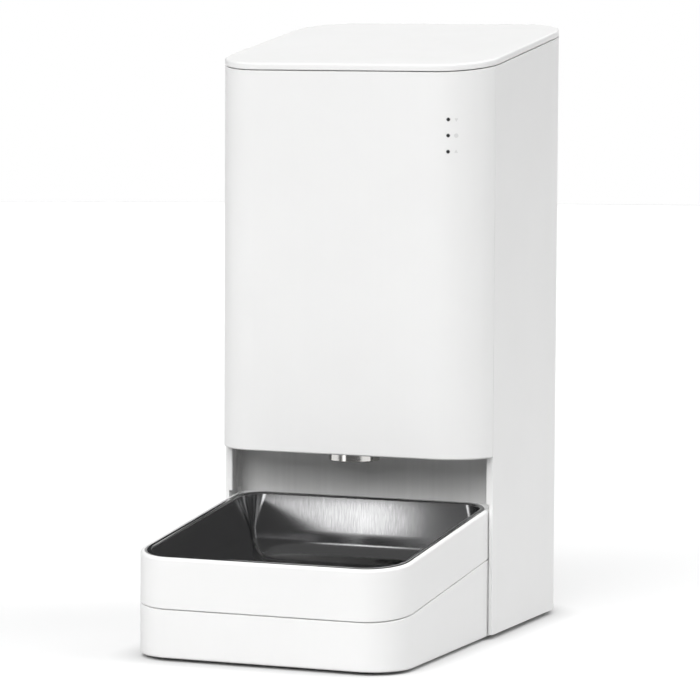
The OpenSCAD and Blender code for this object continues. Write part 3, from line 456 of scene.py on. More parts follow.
def moulded_grain(tree, given):
    """Colour mottling, drawn streaks, roughness and the fine spark-eroded grain of a moulded surface."""
    place = place_of(tree)
    drawn_out = math_node(tree, "MULTIPLY", place, (260.0, 260.0, 3.0), "ShaderNodeVectorMath")
    lines = noise(tree, drawn_out, Scale=1.0, Detail=3.0, Roughness=0.6)
    broad = noise(tree, place, Scale=22.0, Detail=2.0, Roughness=0.5)
    fine = noise(tree, place, Scale=given["Grain"], Detail=3.0, Roughness=0.6)
    pits = add(tree, "ShaderNodeTexVoronoi", feature="SMOOTH_F1", Vector=place, Scale=given["Grain"],
               Smoothness=0.6)
    streaks = scaled(tree, spread(tree, lines), given["Drawn"])
    shaded = math_node(tree, "ADD", scaled(tree, spread(tree, broad), 0.5), streaks)
    return {
        "Colour": mix_colour(tree, given["Colour"], given["Shade"], shaded),
        "Roughness": spread(tree, fine, given["Smooth"], given["Rough"]),
        "Height": math_node(tree, "ADD", fine, pits.outputs["Distance"]),
    }


def brushed_lines(tree, given):
    """Streaks of a brushed metal: tint, roughness and height from noise drawn out along one axis."""
    place = place_of(tree)
    drawn_out = math_node(tree, "MULTIPLY", place, given["Across"], "ShaderNodeVectorMath")
    streak = noise(tree, drawn_out, Scale=1.0, Detail=4.0, Roughness=0.65)
    cloud = noise(tree, place, Scale=35.0, Detail=3.0)
    both = scaled(tree, math_node(tree, "ADD", streak, cloud), 0.5)
    return {
        "Colour": mix_colour(tree, given["Colour"], given["Shade"], spread(tree, streak)),
        "Roughness": spread(tree, both, given["Smooth"], given["Rough"], (0.35, 0.65)),
        "Height": streak,
    }


def settled_dust(tree, given):
    """Mask of thin dust on faces that look up, broken up by noise."""
    normal = add(tree, "ShaderNodeNewGeometry").outputs["Normal"]
    up = add(tree, "ShaderNodeSeparateXYZ", Vector=normal).outputs["Z"]
    patch = noise(tree, place_of(tree), Scale=given["Patch"], Detail=5.0, Roughness=0.65)
    mask = scaled(tree, math_node(tree, "MAXIMUM", up, 0.0), spread(tree, patch))
    return {"Mask": scaled(tree, mask, given["Amount"])}


SKIN = {"Colour": "NodeSocketColor", "Roughness": "NodeSocketFloat", "Height": "NodeSocketFloat"}
GROUPS = {
    "Moulded grain": (
        moulded_grain,
        {"Colour": (0.9, 0.9, 0.9, 1), "Shade": (0.8, 0.8, 0.8, 1), "Grain": 1800.0, "Smooth": 0.36,
         "Rough": 0.46, "Drawn": 0.15},
        SKIN,
    ),
    "Brushed lines": (
        brushed_lines,
        {"Colour": (0.6, 0.6, 0.6, 1), "Shade": (0.5, 0.5, 0.5, 1), "Across": (2200.0, 2200.0, 30.0),
         "Smooth": 0.22, "Rough": 0.34},
        SKIN,
    ),
    "Settled dust": (settled_dust, {"Amount": 0.2, "Patch": 60.0}, {"Mask": "NodeSocketFloat"}),
}
DUST = (0.62, 0.61, 0.58, 1)
PAD_METAL = (0.62, 0.58, 0.45, 1)


def use(tree, name, **values):
    """Places a shared group in a material with its own values; the group is made on first use."""
    if name not in bpy.data.node_groups:
        build, inputs, outputs = GROUPS[name]
        group, given, out = open_tree(name, "ShaderNodeTree", inputs, outputs)
        for label, value in build(group, given).items():
            feed(group, out[label], value)
    return add(tree, "ShaderNodeGroup", node_tree=bpy.data.node_groups[name], **values).outputs


def rgba(c, k=1.0):
    return (*(v * k for v in c), 1)


def surface(name):
    """A new material with its Principled shader."""
    material = bpy.data.materials.new(name)
    material.use_nodes = True
    return material, material.node_tree, material.node_tree.nodes["Principled BSDF"]


def relief(tree, height, strength, distance):
    return add(tree, "ShaderNodeBump", Strength=strength, Distance=distance * MM, Height=height)


def dressed(slot, group, tone, mottle, strength, depth, metallic=0.0, dust=0.0, **values):
    """A material whose colour, roughness and relief come from a shared group."""
    material, tree, shader = surface(slot + "_finish")
    skin = use(tree, group, Colour=rgba(tone), Shade=rgba(tone, mottle), **values)
    tint = skin["Colour"]
    if dust:
        tint = mix_colour(tree, tint, DUST, use(tree, "Settled dust", Amount=dust)["Mask"])
    fill(tree, shader, Base_Color=tint, Roughness=skin["Roughness"], Metallic=metallic,
         Normal=relief(tree, skin["Height"], strength, depth))
    return material


def moulded(slot, tone, smooth=0.36, rough=0.46, grain=1800.0, strength=0.25, mottle=0.97, dust=0.0, drawn=0.15):
    """Injection-moulded plastic."""
    return dressed(slot, "Moulded grain", tone, mottle, strength, 0.02, dust=dust, Grain=grain, Smooth=smooth,
                   Rough=rough, Drawn=drawn)


def metal(slot, tone, across, smooth, rough, strength=0.2, mottle=0.85):
    """Brushed, drawn or turned metal."""
    return dressed(slot, "Brushed lines", tone, mottle, strength, 0.01, metallic=1.0, Across=across, Smooth=smooth,
                   Rough=rough)


def board_finish(tone):
    """Solder mask with fine tracks and plated pads."""
    material, tree, shader = surface("board_green_finish")
    place = place_of(tree)
    turn = add(tree, "ShaderNodeMapping", Vector=place, Rotation=(math.radians(90), 0, 0))
    tracks = add(tree, "ShaderNodeTexBrick", offset=0.5, Vector=turn, Scale=140.0, Mortar_Size=0.03,
                 Brick_Width=1.8, Row_Height=0.25).outputs["Fac"]
    pads = add(tree, "ShaderNodeTexVoronoi", feature="F1", Vector=place, Scale=210.0, Randomness=0.8)
    dot = math_node(tree, "LESS_THAN", pads.outputs["Distance"], 0.16)
    mask = mix_colour(tree, rgba(tone), rgba(tone, 2.1), tracks)
    fill(tree, shader, Base_Color=mix_colour(tree, mask, PAD_METAL, dot), Metallic=scaled(tree, dot, 0.9),
         Roughness=spread(tree, dot, 0.26, 0.4, (0, 1)),
         Normal=relief(tree, math_node(tree, "ADD", tracks, dot), 0.3, 0.03))
    return material


def sachet_finish(tone):
    """Non-woven paper with a light quilting."""
    material, tree, shader = surface("desiccant_finish")
    place = place_of(tree)
    fibres = noise(tree, place, Scale=900.0, Detail=6.0, Roughness=0.7, Distortion=1.5)
    quilt = add(tree, "ShaderNodeTexVoronoi", feature="F1", Vector=place, Scale=320.0, Randomness=0.2)
    height = math_node(tree, "ADD", fibres, quilt.outputs["Distance"])
    fill(tree, shader, Base_Color=mix_colour(tree, rgba(tone), rgba(tone, 0.86), spread(tree, fibres)),
         Roughness=spread(tree, fibres, 0.75, 0.92), Normal=relief(tree, height, 0.5, 0.15))
    return material


def make_finishes(c):
    """One procedural material for each slot of the record, and one for polished tube."""
    plastics = {
        "white_plastic": {"tone": c.white, "dust": 0.05},
        "inner_plastic": {"tone": c.inner, "grain": 1400.0, "smooth": 0.42, "rough": 0.54, "mottle": 0.93,
                          "drawn": 0.9},
        "bin_plastic": {"tone": c.bin, "grain": 900.0, "smooth": 0.2, "rough": 0.3, "strength": 0.12},
        "wheel_plastic": {"tone": c.wheel, "smooth": 0.34, "rough": 0.44, "mottle": 0.93},
        "gear_plastic": {"tone": c.gear, "smooth": 0.3, "rough": 0.42, "mottle": 0.94},
        "dark_plastic": {"tone": c.dark, "smooth": 0.3, "rough": 0.45, "mottle": 0.8},
        "soft_rubber": {"tone": c.rubber, "grain": 1100.0, "smooth": 0.62, "rough": 0.8, "strength": 0.5,
                        "mottle": 0.85, "dust": 0.25},
        "seal_rubber": {"tone": c.seal, "grain": 1500.0, "smooth": 0.5, "rough": 0.66, "mottle": 0.94},
    }
    metals = {
        "bowl_steel": (c.steel, (1500.0, 1500.0, 45.0), 0.13, 0.18, 0.12),
        "bright_metal": (c.bright, (900.0, 900.0, 900.0), 0.2, 0.34),
        "polished_metal": (c.bright, (700.0, 700.0, 60.0), 0.07, 0.13, 0.06, 0.94),
        "brass": (c.brass, (600.0, 600.0, 2400.0), 0.24, 0.38),
    }
    made = {slot: moulded(slot, **values) for slot, values in plastics.items()}
    made.update((slot, metal(slot, *values)) for slot, values in metals.items())
    made.update(board_green=board_finish(c.board), desiccant=sachet_finish(c.sachet))
    return made


FINISHES = {}


def finish(slot):
    """The material of a slot, made on first use."""
    if not FINISHES:
        FINISHES.update(make_finishes(bpy.context.scene.feeder_colours))
    return FINISHES[slot]


# ---------- geometry node trees ----------


def vector(tree, x=0.0, y=0.0, z=0.0):
    return add(tree, "ShaderNodeCombineXYZ", X=x, Y=y, Z=z)


def geometry_tree(name, sizes, build):
    """A tree that sets build()'s solid at points, turned by their "turn" attribute, in a material."""
    inputs = {"Geometry": "NodeSocketGeometry", **sizes, "Material": "NodeSocketMaterial"}
    tree, given, out = open_tree(name, "GeometryNodeTree", inputs, {"Geometry": "NodeSocketGeometry"})
    turn = add(tree, "GeometryNodeInputNamedAttribute", data_type="FLOAT_VECTOR", Name="turn")
    copies = add(tree, "GeometryNodeInstanceOnPoints", Points=given["Geometry"], Instance=build(tree, given),
                 Rotation=turn.outputs["Attribute"])
    real = add(tree, "GeometryNodeRealizeInstances", Geometry=copies)
    feed(tree, out["Geometry"], add(tree, "GeometryNodeSetMaterial", Geometry=real, Material=given["Material"]))
    return tree


def screw(tree, given):
    """Pan-head screw with a crossed recess."""
    radius, height, length_ = given["Head radius"], given["Head height"], given["Shank length"]
    solid = add(tree, "GeometryNodeMeshCone", Vertices=28, Radius_Bottom=radius,
                Radius_Top=scaled(tree, radius, 0.78), Depth=height)
    wide, thin = scaled(tree, radius, 1.05), scaled(tree, radius, 0.26)
    up = vector(tree, z=scaled(tree, height, 0.9))
    for x, y in ((wide, thin), (thin, wide)):
        slot = add(tree, "GeometryNodeMeshCube", Size=vector(tree, x, y, height))
        moved = add(tree, "GeometryNodeTransform", Geometry=slot, Translation=up)
        solid = add(tree, "GeometryNodeMeshBoolean", operation="DIFFERENCE", Mesh_1=solid, Mesh_2=moved)
    shank = add(tree, "GeometryNodeMeshCylinder", Vertices=20, Radius=given["Shank radius"], Depth=length_)
    down = vector(tree, z=scaled(tree, length_, -0.5))
    both = tree.nodes.new("GeometryNodeJoinGeometry")
    for part in (solid, add(tree, "GeometryNodeTransform", Geometry=shank, Translation=down)):
        feed(tree, both.inputs[0], part)
    return both


def spring(tree, given):
    """Conical contact spring."""
    coil = add(tree, "GeometryNodeCurveSpiral", Resolution=24, Start_Radius=given["Large radius"],
               End_Radius=given["Small radius"], Height=given["Height"], Rotations=given["Turns"])
    wire = add(tree, "GeometryNodeCurvePrimitiveCircle", mode="RADIUS", Resolution=8, Radius=given["Wire"])
    tube = add(tree, "GeometryNodeCurveToMesh", Curve=coil, Profile_Curve=wire, Fill_Caps=True)
    return add(tree, "GeometryNodeSetShadeSmooth", Geometry=tube)


def blades(tree, given):
    """Blades of the portion wheel, one for each cell, round the wheel's axis."""
    outer, inner = given["Outer radius"], given["Inner radius"]
    span = math_node(tree, "SUBTRACT", outer, inner)
    blade = add(tree, "GeometryNodeMeshCube", Size=vector(tree, span, given["Thickness"], given["Height"]))
    ring = add(tree, "GeometryNodeMeshCircle", Vertices=given["Cells"],
               Radius=scaled(tree, math_node(tree, "ADD", outer, inner), 0.5))
    aim = add(tree, "FunctionNodeAlignRotationToVector", axis="X", Vector=add(tree, "GeometryNodeInputPosition"))
    return add(tree, "GeometryNodeInstanceOnPoints", Points=ring, Instance=blade, Rotation=aim)


def screw_tree():
    """Screws at points."""
    sizes = {"Head radius": 0.0029, "Head height": 0.0014, "Shank radius": 0.0015, "Shank length": 0.009}
    return geometry_tree("Screws at points", sizes, screw)


def spring_tree():
    """Springs at points."""
    sizes = {"Large radius": 0.0056, "Small radius": 0.0032, "Height": 0.004, "Turns": 4.0, "Wire": 0.0004}
    return geometry_tree("Springs at points", sizes, spring)


def blade_tree():
    """Wheels of blades at points."""
    sizes = {"Cells": 6, "Inner radius": 0.016, "Outer radius": 0.049, "Thickness": 0.0024, "Height": 0.024}
    return geometry_tree("Blades round a hub", sizes, blades)


def points_mesh(name, places):
    """A mesh of loose points, each with its turn, from (position in mm, matrix) pairs."""
    mesh = bpy.data.meshes.new(name)
    mesh.from_pydata([Vector(p) * MM for p, _ in places], [], [])
    turn = mesh.attributes.new("turn", "FLOAT_VECTOR", "POINT")
    for item, (_, matrix) in zip(turn.data, places):
        item.vector = matrix.to_euler()
    return mesh


def grown(name, tree, places, slot, body, replaced=(), sizes=None):
    """Runs a geometry node tree on points and keeps the plain mesh."""
    obj = linked(name, points_mesh(name, places))
    modifier = obj.modifiers.new("Make", "NODES")
    modifier.node_group = tree
    values = dict(sizes or {}, Material=finish(slot))
    for item in tree.interface.items_tree:
        if item.in_out == "INPUT" and item.name in values:
            modifier[item.identifier] = values[item.name]
    plain(obj)
    if "turn" in obj.data.attributes:
        obj.data.attributes.remove(obj.data.attributes["turn"])
    return own(obj, body, replaced)


UP = Matrix.Identity(4)
DOWN = Matrix.Rotation(math.pi, 4, "X")
BACKWARD = Matrix.Rotation(math.radians(-90), 4, "X")


def at(x, y, z, turn=UP):
    """Matrix that turns about the origin and then moves."""
    return Matrix.Translation((x, y, z)) @ turn


# ---------- tower mouldings ----------


def half_width_at(m, y, radius):
    """Half width of the tower at a y within its front corner arc."""
    reach = max(0.0, radius**2 - (m.axis.y - y) ** 2)
    return m.axis.x + (math.sqrt(reach) if y < m.axis.y else radius)


def tower_arcs(m, y, radii, spans):
    """Points at some radii round upright corners of the tower, from (side, first, last angle) spans."""
    points = []
    for side, first, last in spans:
        for i in range(m.steps + 1):
            a = math.radians(first + (last - first) * i / m.steps)
            points.append(tuple((side * m.axis.x + r * math.cos(a), y + r * math.sin(a)) for r in radii))
    return points


def shell_stations(m):
    """Outer and inner points of the outer shell's wall, from the right cheek round the rear."""
    pairs = []
    across, along = m.cheek_round
    for k in range(7):
        a = math.radians(90 * k / 6)
        y = m.seam_y + along * (1 - math.cos(a))
        pairs.append(((half_width_at(m, y, m.corner), y), (m.cheek + across * (1 - math.sin(a)), y)))
    pairs.append(((half_width_at(m, m.axis.y, m.corner), m.axis.y), (m.cheek, m.axis.y)))
    mirrored = [((-a[0], a[1]), (-b[0], b[1])) for a, b in reversed(pairs)]
    radii = (m.corner, m.corner - m.wall)
    return pairs + tower_arcs(m, m.rear_y - m.corner, radii, ((1, 0, 90), (-1, 90, 180))) + mirrored


def cover_stations(m):
    """Outer and inner points of the front cover's wall, from its left end round the front."""
    inner = m.corner - m.wall
    start = math.degrees(math.asin((m.axis.y - m.cover_y) / m.corner))
    spans = ((-1, 180 + start, 270), (1, 270, 360 - start))
    pairs = tower_arcs(m, m.axis.y, (m.corner, inner), spans)
    # the inner face reaches the seam straight
    pairs[0] = (pairs[0][0], (-half_width_at(m, m.cover_y, inner), m.cover_y))
    pairs[-1] = (pairs[-1][0], (half_width_at(m, m.cover_y, inner), m.cover_y))
    return pairs


def wall_along(bm, pairs, bottom, top):
    """Upright wall along outer and inner points, between a flat bottom and a top plane."""
    rings = [
        [
            (outer[0], outer[1], bottom),
            (outer[0], outer[1], top(outer[1])),
            (inner[0], inner[1], top(inner[1])),
            (inner[0], inner[1], bottom),
        ]
        for outer, inner in pairs
    ]
    loft(bm, rings)


def columns(m):
    """Places of the four columns between the bottom plate and the chassis."""
    x = m.cheek - 12
    panel = low("recess_panel").y
    return [(s * x, y) for s in (-1, 1) for y in (panel + 12, m.rear_y - m.corner)]


def board_holes():
    """Places of the main board's four holes, as x and z."""
    a, b = low("main_board"), high("main_board")
    return [(x, z) for x in (a.x + 6, b.x - 6) for z in (a.z + 6, b.z - 6)]


class FEEDER_OT_outer_shell(bpy.types.Operator):
    """Rear shell of the tower: one wall with open front, cheek grooves, columns and bosses"""

    bl_idname = "feeder.outer_shell"
    bl_label = "Outer shell"

    def execute(self, context):
        m = measures(context)
        bm = bmesh.new()
        wall_along(bm, shell_stations(m), m.lift, lambda y: lid_plane(m, y))
        cuts = bmesh.new()
        groove = m.seam_y + 8.3
        for s in (-1, 1):
            box(cuts, (s * m.cheek - 1.1, groove, -1), (s * m.cheek + 1.1, groove + 4.2, low("outlet_floor").z))
        opening = 4.25
        z = (low("feed_button").z + high("feed_button").z) / 2
        for node in ("power_jack", "feed_button"):
            x = (low(node).x + high(node).x) / 2
            turned(cuts, [(opening, -m.wall - 1), (opening, 2)], at(x, m.rear_y, z, BACKWARD), steps=48)
        piece("shell_skin", bm, "white_plastic", "tower", ("outer_shell",), cuts, edge=m.crisp, segments=3)
        inside = bmesh.new()
        for x, y in columns(m):
            turned(inside, [(5, m.plate_top), (5, m.deck)], at(x, y, 0))
            across = (abs(x) + 4, m.cheek + 0.4)
            side_box(inside, math.copysign(1, x), across, (y - 1.2, y + 1.2), (m.plate_top, m.deck))
        back = high("main_board").y
        for x, z in board_holes():
            turned(inside, [(3, 0), (3, m.rear_y - m.wall - back + 0.4)], at(x, back, z, BACKWARD))
        drop = high("top_frame").z - lid_plane(m, high("top_frame").y)
        for s in (-1, 1):
            for y in (m.seam_y + 14, m.rear_y - m.corner - 20):
                side_pad(m, inside, s, (m.cheek - 3, m.cheek + 0.9), (y, y + 18), (drop - 8.4, drop - 2.4))
        piece("shell_inside", inside, "white_plastic", "tower", edge=0.3)
        lips = bmesh.new()
        for s in (-1, 1):
            side_box(lips, s, (m.cheek - m.cheek_lip, m.cheek + 0.4), (m.seam_y + 0.03, m.seam_y + 3.6),
                     (rim_plane(m, m.base_rear) + 0.6, m.overhang - 0.25))
        piece("shell_lips", lips, "white_plastic", "tower", edge=0.7, segments=4)
        return {"FINISHED"}


class FEEDER_OT_front_cover(bpy.types.Operator):
    """Front cover of the tower with its soft lower edge, tongues and ledge"""

    bl_idname = "feeder.front_cover"
    bl_label = "Front cover"

    def execute(self, context):
        m = measures(context)
        bm = bmesh.new()
        wall_along(bm, cover_stations(m), m.overhang, lambda y: lid_plane(m, y))
        edge_z = m.overhang + 0.01

        def lower_outer(e):
            mid = (e.verts[0].co + e.verts[1].co) / 2
            level = abs(e.verts[0].co.z - e.verts[1].co.z) < 1e-6
            outside = mid.y < m.front_y + 0.2 or (
                mid.y < m.axis.y and (Vector((abs(mid.x), mid.y)) - m.axis).length > m.corner - 0.5
            )
            return level and mid.z < edge_z and outside

        round_edges(bm, m.soft, 4, lower_outer)
        piece("cover_skin", bm, "white_plastic", "tower", ("front_cover",), edge=m.crisp * 0.7, segments=2)
        inside = bmesh.new()
        lows = m.deck_top + 10
        highs = m.seam_h - 46.5
        for s in (-1, 1):
            for z in (lows, (lows + highs) / 2, highs):
                side_box(inside, s, (m.cheek - 0.1, m.cheek - 1.9), (m.seam_y - 4, m.seam_y + 7), (z, z + 22))
        near, far = m.wall - 0.5, m.wall + 2.4
        rows = []
        for inset, z in ((near, 0.2), (near, 1.6), (far, 1.6), (far, 0.2)):
            arcs = tower_arcs(m, m.axis.y, (m.corner - inset,), ((-1, 192, 270), (1, 270, 348)))
            rows.append([(x, y, m.overhang + z) for ((x, y),) in arcs])
        loft(inside, [list(section) for section in zip(*rows)])
        piece("cover_inside", inside, "white_plastic", "tower", edge=0.2)
        return {"FINISHED"}


class FEEDER_OT_recess(bpy.types.Operator):
    """Panel behind the bowl with its side returns, and the outlet nozzle"""

    bl_idname = "feeder.recess"
    bl_label = "Recess and nozzle"

    def execute(self, context):
        m = measures(context)
        a, b = low("recess_panel"), high("recess_panel")
        bm = bmesh.new()
        box(bm, (a.x, b.y - 2.4, a.z), (b.x, b.y, b.z))
        cuts = bmesh.new()
        box(cuts, (-31, b.y - 4, 6), (31, b.y + 1, 10))
        box(cuts, (a.x - 1, b.y - 0.7, -1), (b.x + 1, b.y + 1, m.plate_top + 0.2))
        piece("recess_face", bm, "inner_plastic", "tower", ("recess_panel",), cuts, edge=0.3)
        returns = bmesh.new()
        side_low = rim_plane(m, m.base_rear) + 1.5
        for s in (-1, 1):
            side_box(returns, s, (b.x, b.x - 0.5), (a.y, b.y - 2.3), (side_low, b.z))
        piece("recess_returns", returns, "inner_plastic", "tower", edge=0.2)
        self.nozzle(m)
        return {"FINISHED"}

    def nozzle(self, m):
        """Polished steel tube with a rolled mouth, hung by its flange on the outlet floor."""
        a, b = low("outlet_spout"), high("outlet_spout")
        y, flange = (a.y + b.y) / 2, (b.x - a.x) / 2
        seat = high("outlet_floor").z
        r, t, lip = m.spout_r, m.spout_t, 0.45
        soft = 0.15
        profile = arc(r - lip, a.z + lip, lip, -lip, (90, 60, 30, 0))
        profile += [(r, seat - 0.05), (r + soft, seat), (flange - soft, seat), (flange, seat + soft)]
        profile += [(flange, b.z - soft), (flange - soft, b.z), (r - t + soft, b.z), (r - t, b.z - soft)]
        profile.append((r - t, a.z + lip + 0.1))
        bm = bmesh.new()
        rings = [lift_ring(rounded(v, y - v, y + v, v, v, m.steps), z) for v, z in profile]
        loft(bm, rings, loop=True)
        obj = piece("nozzle", bm, "bright_metal", "tower", ("outlet_spout",))
        obj.data.materials[0] = finish("polished_metal")


class FEEDER_OT_lid(bpy.types.Operator):
    """Lid with soft edges, its plug and pads, the seal and the desiccant sachet"""

    bl_idname = "feeder.lid"
    bl_label = "Lid"

    def execute(self, context):
        m = measures(context)
        bm = bmesh.new()
        ring = rounded(m.half, m.front_y, m.rear_y, m.corner, m.corner, m.steps)
        bottom, top = m.seam_gap, m.seam_gap + m.lid_t
        loft(bm, [on_lid_plane(m, ring, k) for k in (bottom, top)])
        round_edges(bm, m.soft, 4, lambda e: all(v.co.z > lid_plane(m, v.co.y, top - 0.1) for v in e.verts))
        piece("lid_top", bm, "white_plastic", "lid", ("lid",), edge=m.crisp)
        inside = bmesh.new()
        self.mouth_ring(m, inside, 12, ((2.4, -9), (2.4, bottom + 0.5), (4.4, bottom + 0.5), (4.4, -9)))
        edge = high("food_bin").x - m.bin_rim
        y0, y1 = low("food_bin").y + m.bin_rim, high("food_bin").y - m.bin_rim
        for s in (-1, 1):
            for y in (y0 + 30, y1 - 42):
                side_pad(m, inside, s, (edge - 1.0, edge + 1.8), (y, y + 12), (-3.2, bottom + 0.5))
        piece("lid_inside", inside, "white_plastic", "lid", edge=0.4, segments=3)
        seal = bmesh.new()
        lip = ((2.38, -6.6), (1.4, -6.5), (0.35, -5.2), (0.3, -4.9), (1.2, -5.5), (2.38, -4.4))
        self.mouth_ring(m, seal, 16, lip)
        piece("seal_lip", seal, "seal_rubber", "lid", ("lid_seal",))
        self.sachet(m)
        return {"FINISHED"}

    def mouth_ring(self, m, bm, steps, section):
        """Closed ring inside the food bin's mouth, from (inset, height over the lid's seam) points."""
        half = high("food_bin").x - m.bin_rim - m.bin_wall
        y0 = low("food_bin").y + m.bin_rim + m.bin_wall
        y1 = high("food_bin").y - m.bin_rim - m.bin_wall
        r = m.bin_corner - m.bin_wall
        rows = [on_lid_plane(m, inset_ring(half, y0, y1, r, r, steps, inset), k) for inset, k in section]
        loft(bm, rows, loop=True)

    def sachet(self, m):
        """Round paper sachet with a crimped rim, slack over its grains."""
        a, b = low("desiccant_pack"), high("desiccant_pack")
        centre = (a + b) / 2
        radius = (b.x - a.x) / 2 - 0.4
        thick = (b.z - a.z) - 2 * radius * math.sin(m.tilt)
        place = Matrix.Translation(centre) @ Matrix.Rotation(m.tilt, 4, "X")
        bm = bmesh.new()
        rings, around = 14, 96
        for side in (1, -1):
            rows = []
            for i in range(1, rings + 1):
                r = radius * i / rings
                crown = max(0.0, 1 - (i / rings) ** 3) ** 0.6
                row = []
                for k in range(around):
                    a0 = 2 * math.pi * k / around
                    lump = 0.10 * math.sin(5 * a0 + i * 0.9) * math.sin(i * 0.8) + 0.05 * math.sin(11 * a0 - i)
                    crimp = 0.25 * math.sin(24 * a0) * (i / rings) ** 8
                    z = side * (thick / 2 - 0.6) * crown * (0.86 + lump) + crimp
                    row.append(bm.verts.new(place @ Vector((r * math.cos(a0), r * math.sin(a0), z))))
                rows.append(row)
            top = bm.verts.new(place @ Vector((0, 0, side * (thick / 2 - 0.6) * 0.86)))
            for k in range(around):
                j = (k + 1) % around
                bm.faces.new((top, rows[0][k], rows[0][j]) if side > 0 else (top, rows[0][j], rows[0][k]))
                for p, q in zip(rows, rows[1:]):
                    corner = (p[k], q[k], q[j], p[j])
                    bm.faces.new(corner if side > 0 else tuple(reversed(corner)))
        obj = piece("sachet", bm, "desiccant", "lid", ("desiccant_pack",))


# ---------- bowl and its base ----------


class FEEDER_OT_bowl_base(bpy.types.Operator):
    """Lower and upper tier of the base, with the soft rim and the hairline seam"""

    bl_idname = "feeder.bowl_base"
    bl_label = "Bowl base"

    def execute(self, context):
        m = measures(context)
        tier = m.tier_h - m.base_h
        r = m.rim_round

        def base(inset, height):
            ring = inset_ring(m.base_half, m.base_front, m.base_rear, m.base_corner, m.rear_corner, m.steps, inset)
            return lift_ring(ring, height)

        bm = bmesh.new()
        heel = 1.2
        rows = [base(*p) for p in arc(heel, m.base_low + heel, -heel, -heel, (90, 68, 45, 23, 0))]
        for inset, k in ((0, -1.0), (0.1, -0.8), (0.3, -0.7), (1.5, -0.7), (1.5, 0), (m.base_wall, 0)):
            rows.append(base(inset, lambda y, k=k: rim_plane(m, y, tier + k)))
        floor = m.base_low + 2.4
        rows += [base(m.base_wall + inset, floor + k) for inset, k in ((0, 0.8), (0.25, 0.25), (0.9, 0))]
        loft(bm, rows)
        piece("lower_tier", bm, "white_plastic", "base", ("bowl_base",))
        inside = bmesh.new()
        rows = [base(m.base_wall + inset, lambda y, k=k: rim_plane(m, y, tier + k))
                for inset, k in ((0.05, -6), (0.05, 3), (1.4, 3), (1.4, -6))]
        loft(inside, rows, loop=True)
        tongue = high("bowl_base").y
        box(inside, (-30, m.base_rear - 1, 6.5), (30, tongue, 9.5))
        piece("lower_tier_inside", inside, "white_plastic", "base", edge=0.3)

        bm = bmesh.new()
        drop = self.ledge(m)
        clear = self.clear(m)

        def opening(k):
            return lift_ring(clear, lambda y: rim_plane(m, y, k))

        profile = [(0.35, tier), (0.1, tier + 0.1), (0, tier + 0.35)]
        profile += arc(r, -r, -r, r, range(0, 91, 15))
        profile += [(m.base_wall - 0.4, 0), (m.base_wall - 0.12, -0.12), (m.base_wall, -0.4), (m.base_wall, drop)]
        rows = [base(inset, lambda y, k=k: rim_plane(m, y, k) - self.dip(m, y)) for inset, k in profile]
        rows += [opening(drop), opening(drop - 2)]
        rows += [base(m.base_wall, lambda y, k=k: rim_plane(m, y, k)) for k in (drop - 2, tier)]
        loft(bm, rows, loop=True)
        piece("upper_tier", bm, "white_plastic", "base", ("bowl_holder",))
        return {"FINISHED"}

    def dip(self, m, y):
        """The rim's rear end drops a little towards the tower."""
        k = min(1.0, max(0.0, (y - m.base_rear + 5) / 3))
        return 0.7 * k * k * (3 - 2 * k)

    def ledge(self, m):
        """Height of the ledge under the bowl's rim, from the rim's plane."""
        return -(1.8 / math.cos(m.base_tilt) + 0.9 + 0.05)

    def clear(self, m):
        """Opening of the base that the bowl hangs through."""
        inset = m.bowl_margin - (m.bowl_t + 0.4)
        return rounded(m.base_half - inset, m.base_front + inset, m.base_rear - inset + 1, m.bowl_corner,
                       m.bowl_rear, m.steps)


class FEEDER_OT_bowl(bpy.types.Operator):
    """Drawn steel bowl with a rolled rim and a filleted floor"""

    bl_idname = "feeder.bowl"
    bl_label = "Steel bowl"

    def execute(self, context):
        m = measures(context)
        half = m.base_half - m.bowl_margin
        front = m.base_front + m.bowl_margin
        long = (m.base_rear - m.bowl_margin - front) / math.cos(m.base_tilt)
        sunk = 0.9 + m.bowl_proud
        rise = m.base_h + m.bowl_margin * math.tan(m.base_tilt) + m.bowl_proud
        place = at(0, front, rise, Matrix.Rotation(m.base_tilt, 4, "X"))

        def ring(inset, depth):
            front = max(2.5, m.bowl_corner - inset)
            rear = max(2.5, m.bowl_rear - (inset if inset < 0 else 2.4 * inset))
            plan = rounded(half - inset, inset, long - inset, front, rear, m.steps)
            return [place @ Vector((x, y, -depth)) for x, y in plan]

        # (inset, depth) of the bowl's inner face, from the middle of the floor to the rim
        t, depth, taper, fillet = m.bowl_t, m.bowl_depth + sunk, m.bowl_taper, m.bowl_fillet
        flat = taper + fillet
        steps = [i / 6 for i in range(1, 7)]
        inner = [(flat + 24, depth - t), (flat + 10, depth - t)]
        inner += arc(flat, depth - t - fillet, -fillet, fillet, range(90, -1, -9))
        side = inner[-1]
        rim = 1.2
        inner += [(side[0] * (1 - k) + 0.05 * k, side[1] * (1 - k) + rim * k) for k in steps]
        inner += arc(-rim, rim, rim, -rim, range(18, 91, 18))
        curl, lip = 0.95, 1.6 + sunk
        inner += arc(curl - 3, curl, -curl, -curl, (90, 68, 45, 23, 0))
        inner += [(-3, lip), (-2.75, lip + 0.18), (-2.4, lip + 0.12), (-2.25, lip - 0.2), (-2.2, 1.05)]
        inner += [(-1.9, t + 0.02), (-1.5, t)]
        outer = [(-1.0, 1.15), (-0.8, 2.2)]
        outer += [(-t + side[0] * k, 2.2 + (side[1] - 2.2) * k) for k in steps]
        outer += arc(flat, depth - t - fillet, -fillet - t, fillet + t, range(9, 91, 9))
        outer += [(flat + 10, depth), (flat + 24, depth)]
        bm = bmesh.new()
        loft(bm, [ring(*p) for p in inner + outer])
        obj = piece("bowl", bm, "bowl_steel", "bowl", ("steel_bowl",))
        deepest = 80 * MM
        if obj.dimensions.z > deepest:
            raise RuntimeError("the bowl came out too deep")
        return {"FINISHED"}


# ---------- bin, wheel and drive ----------


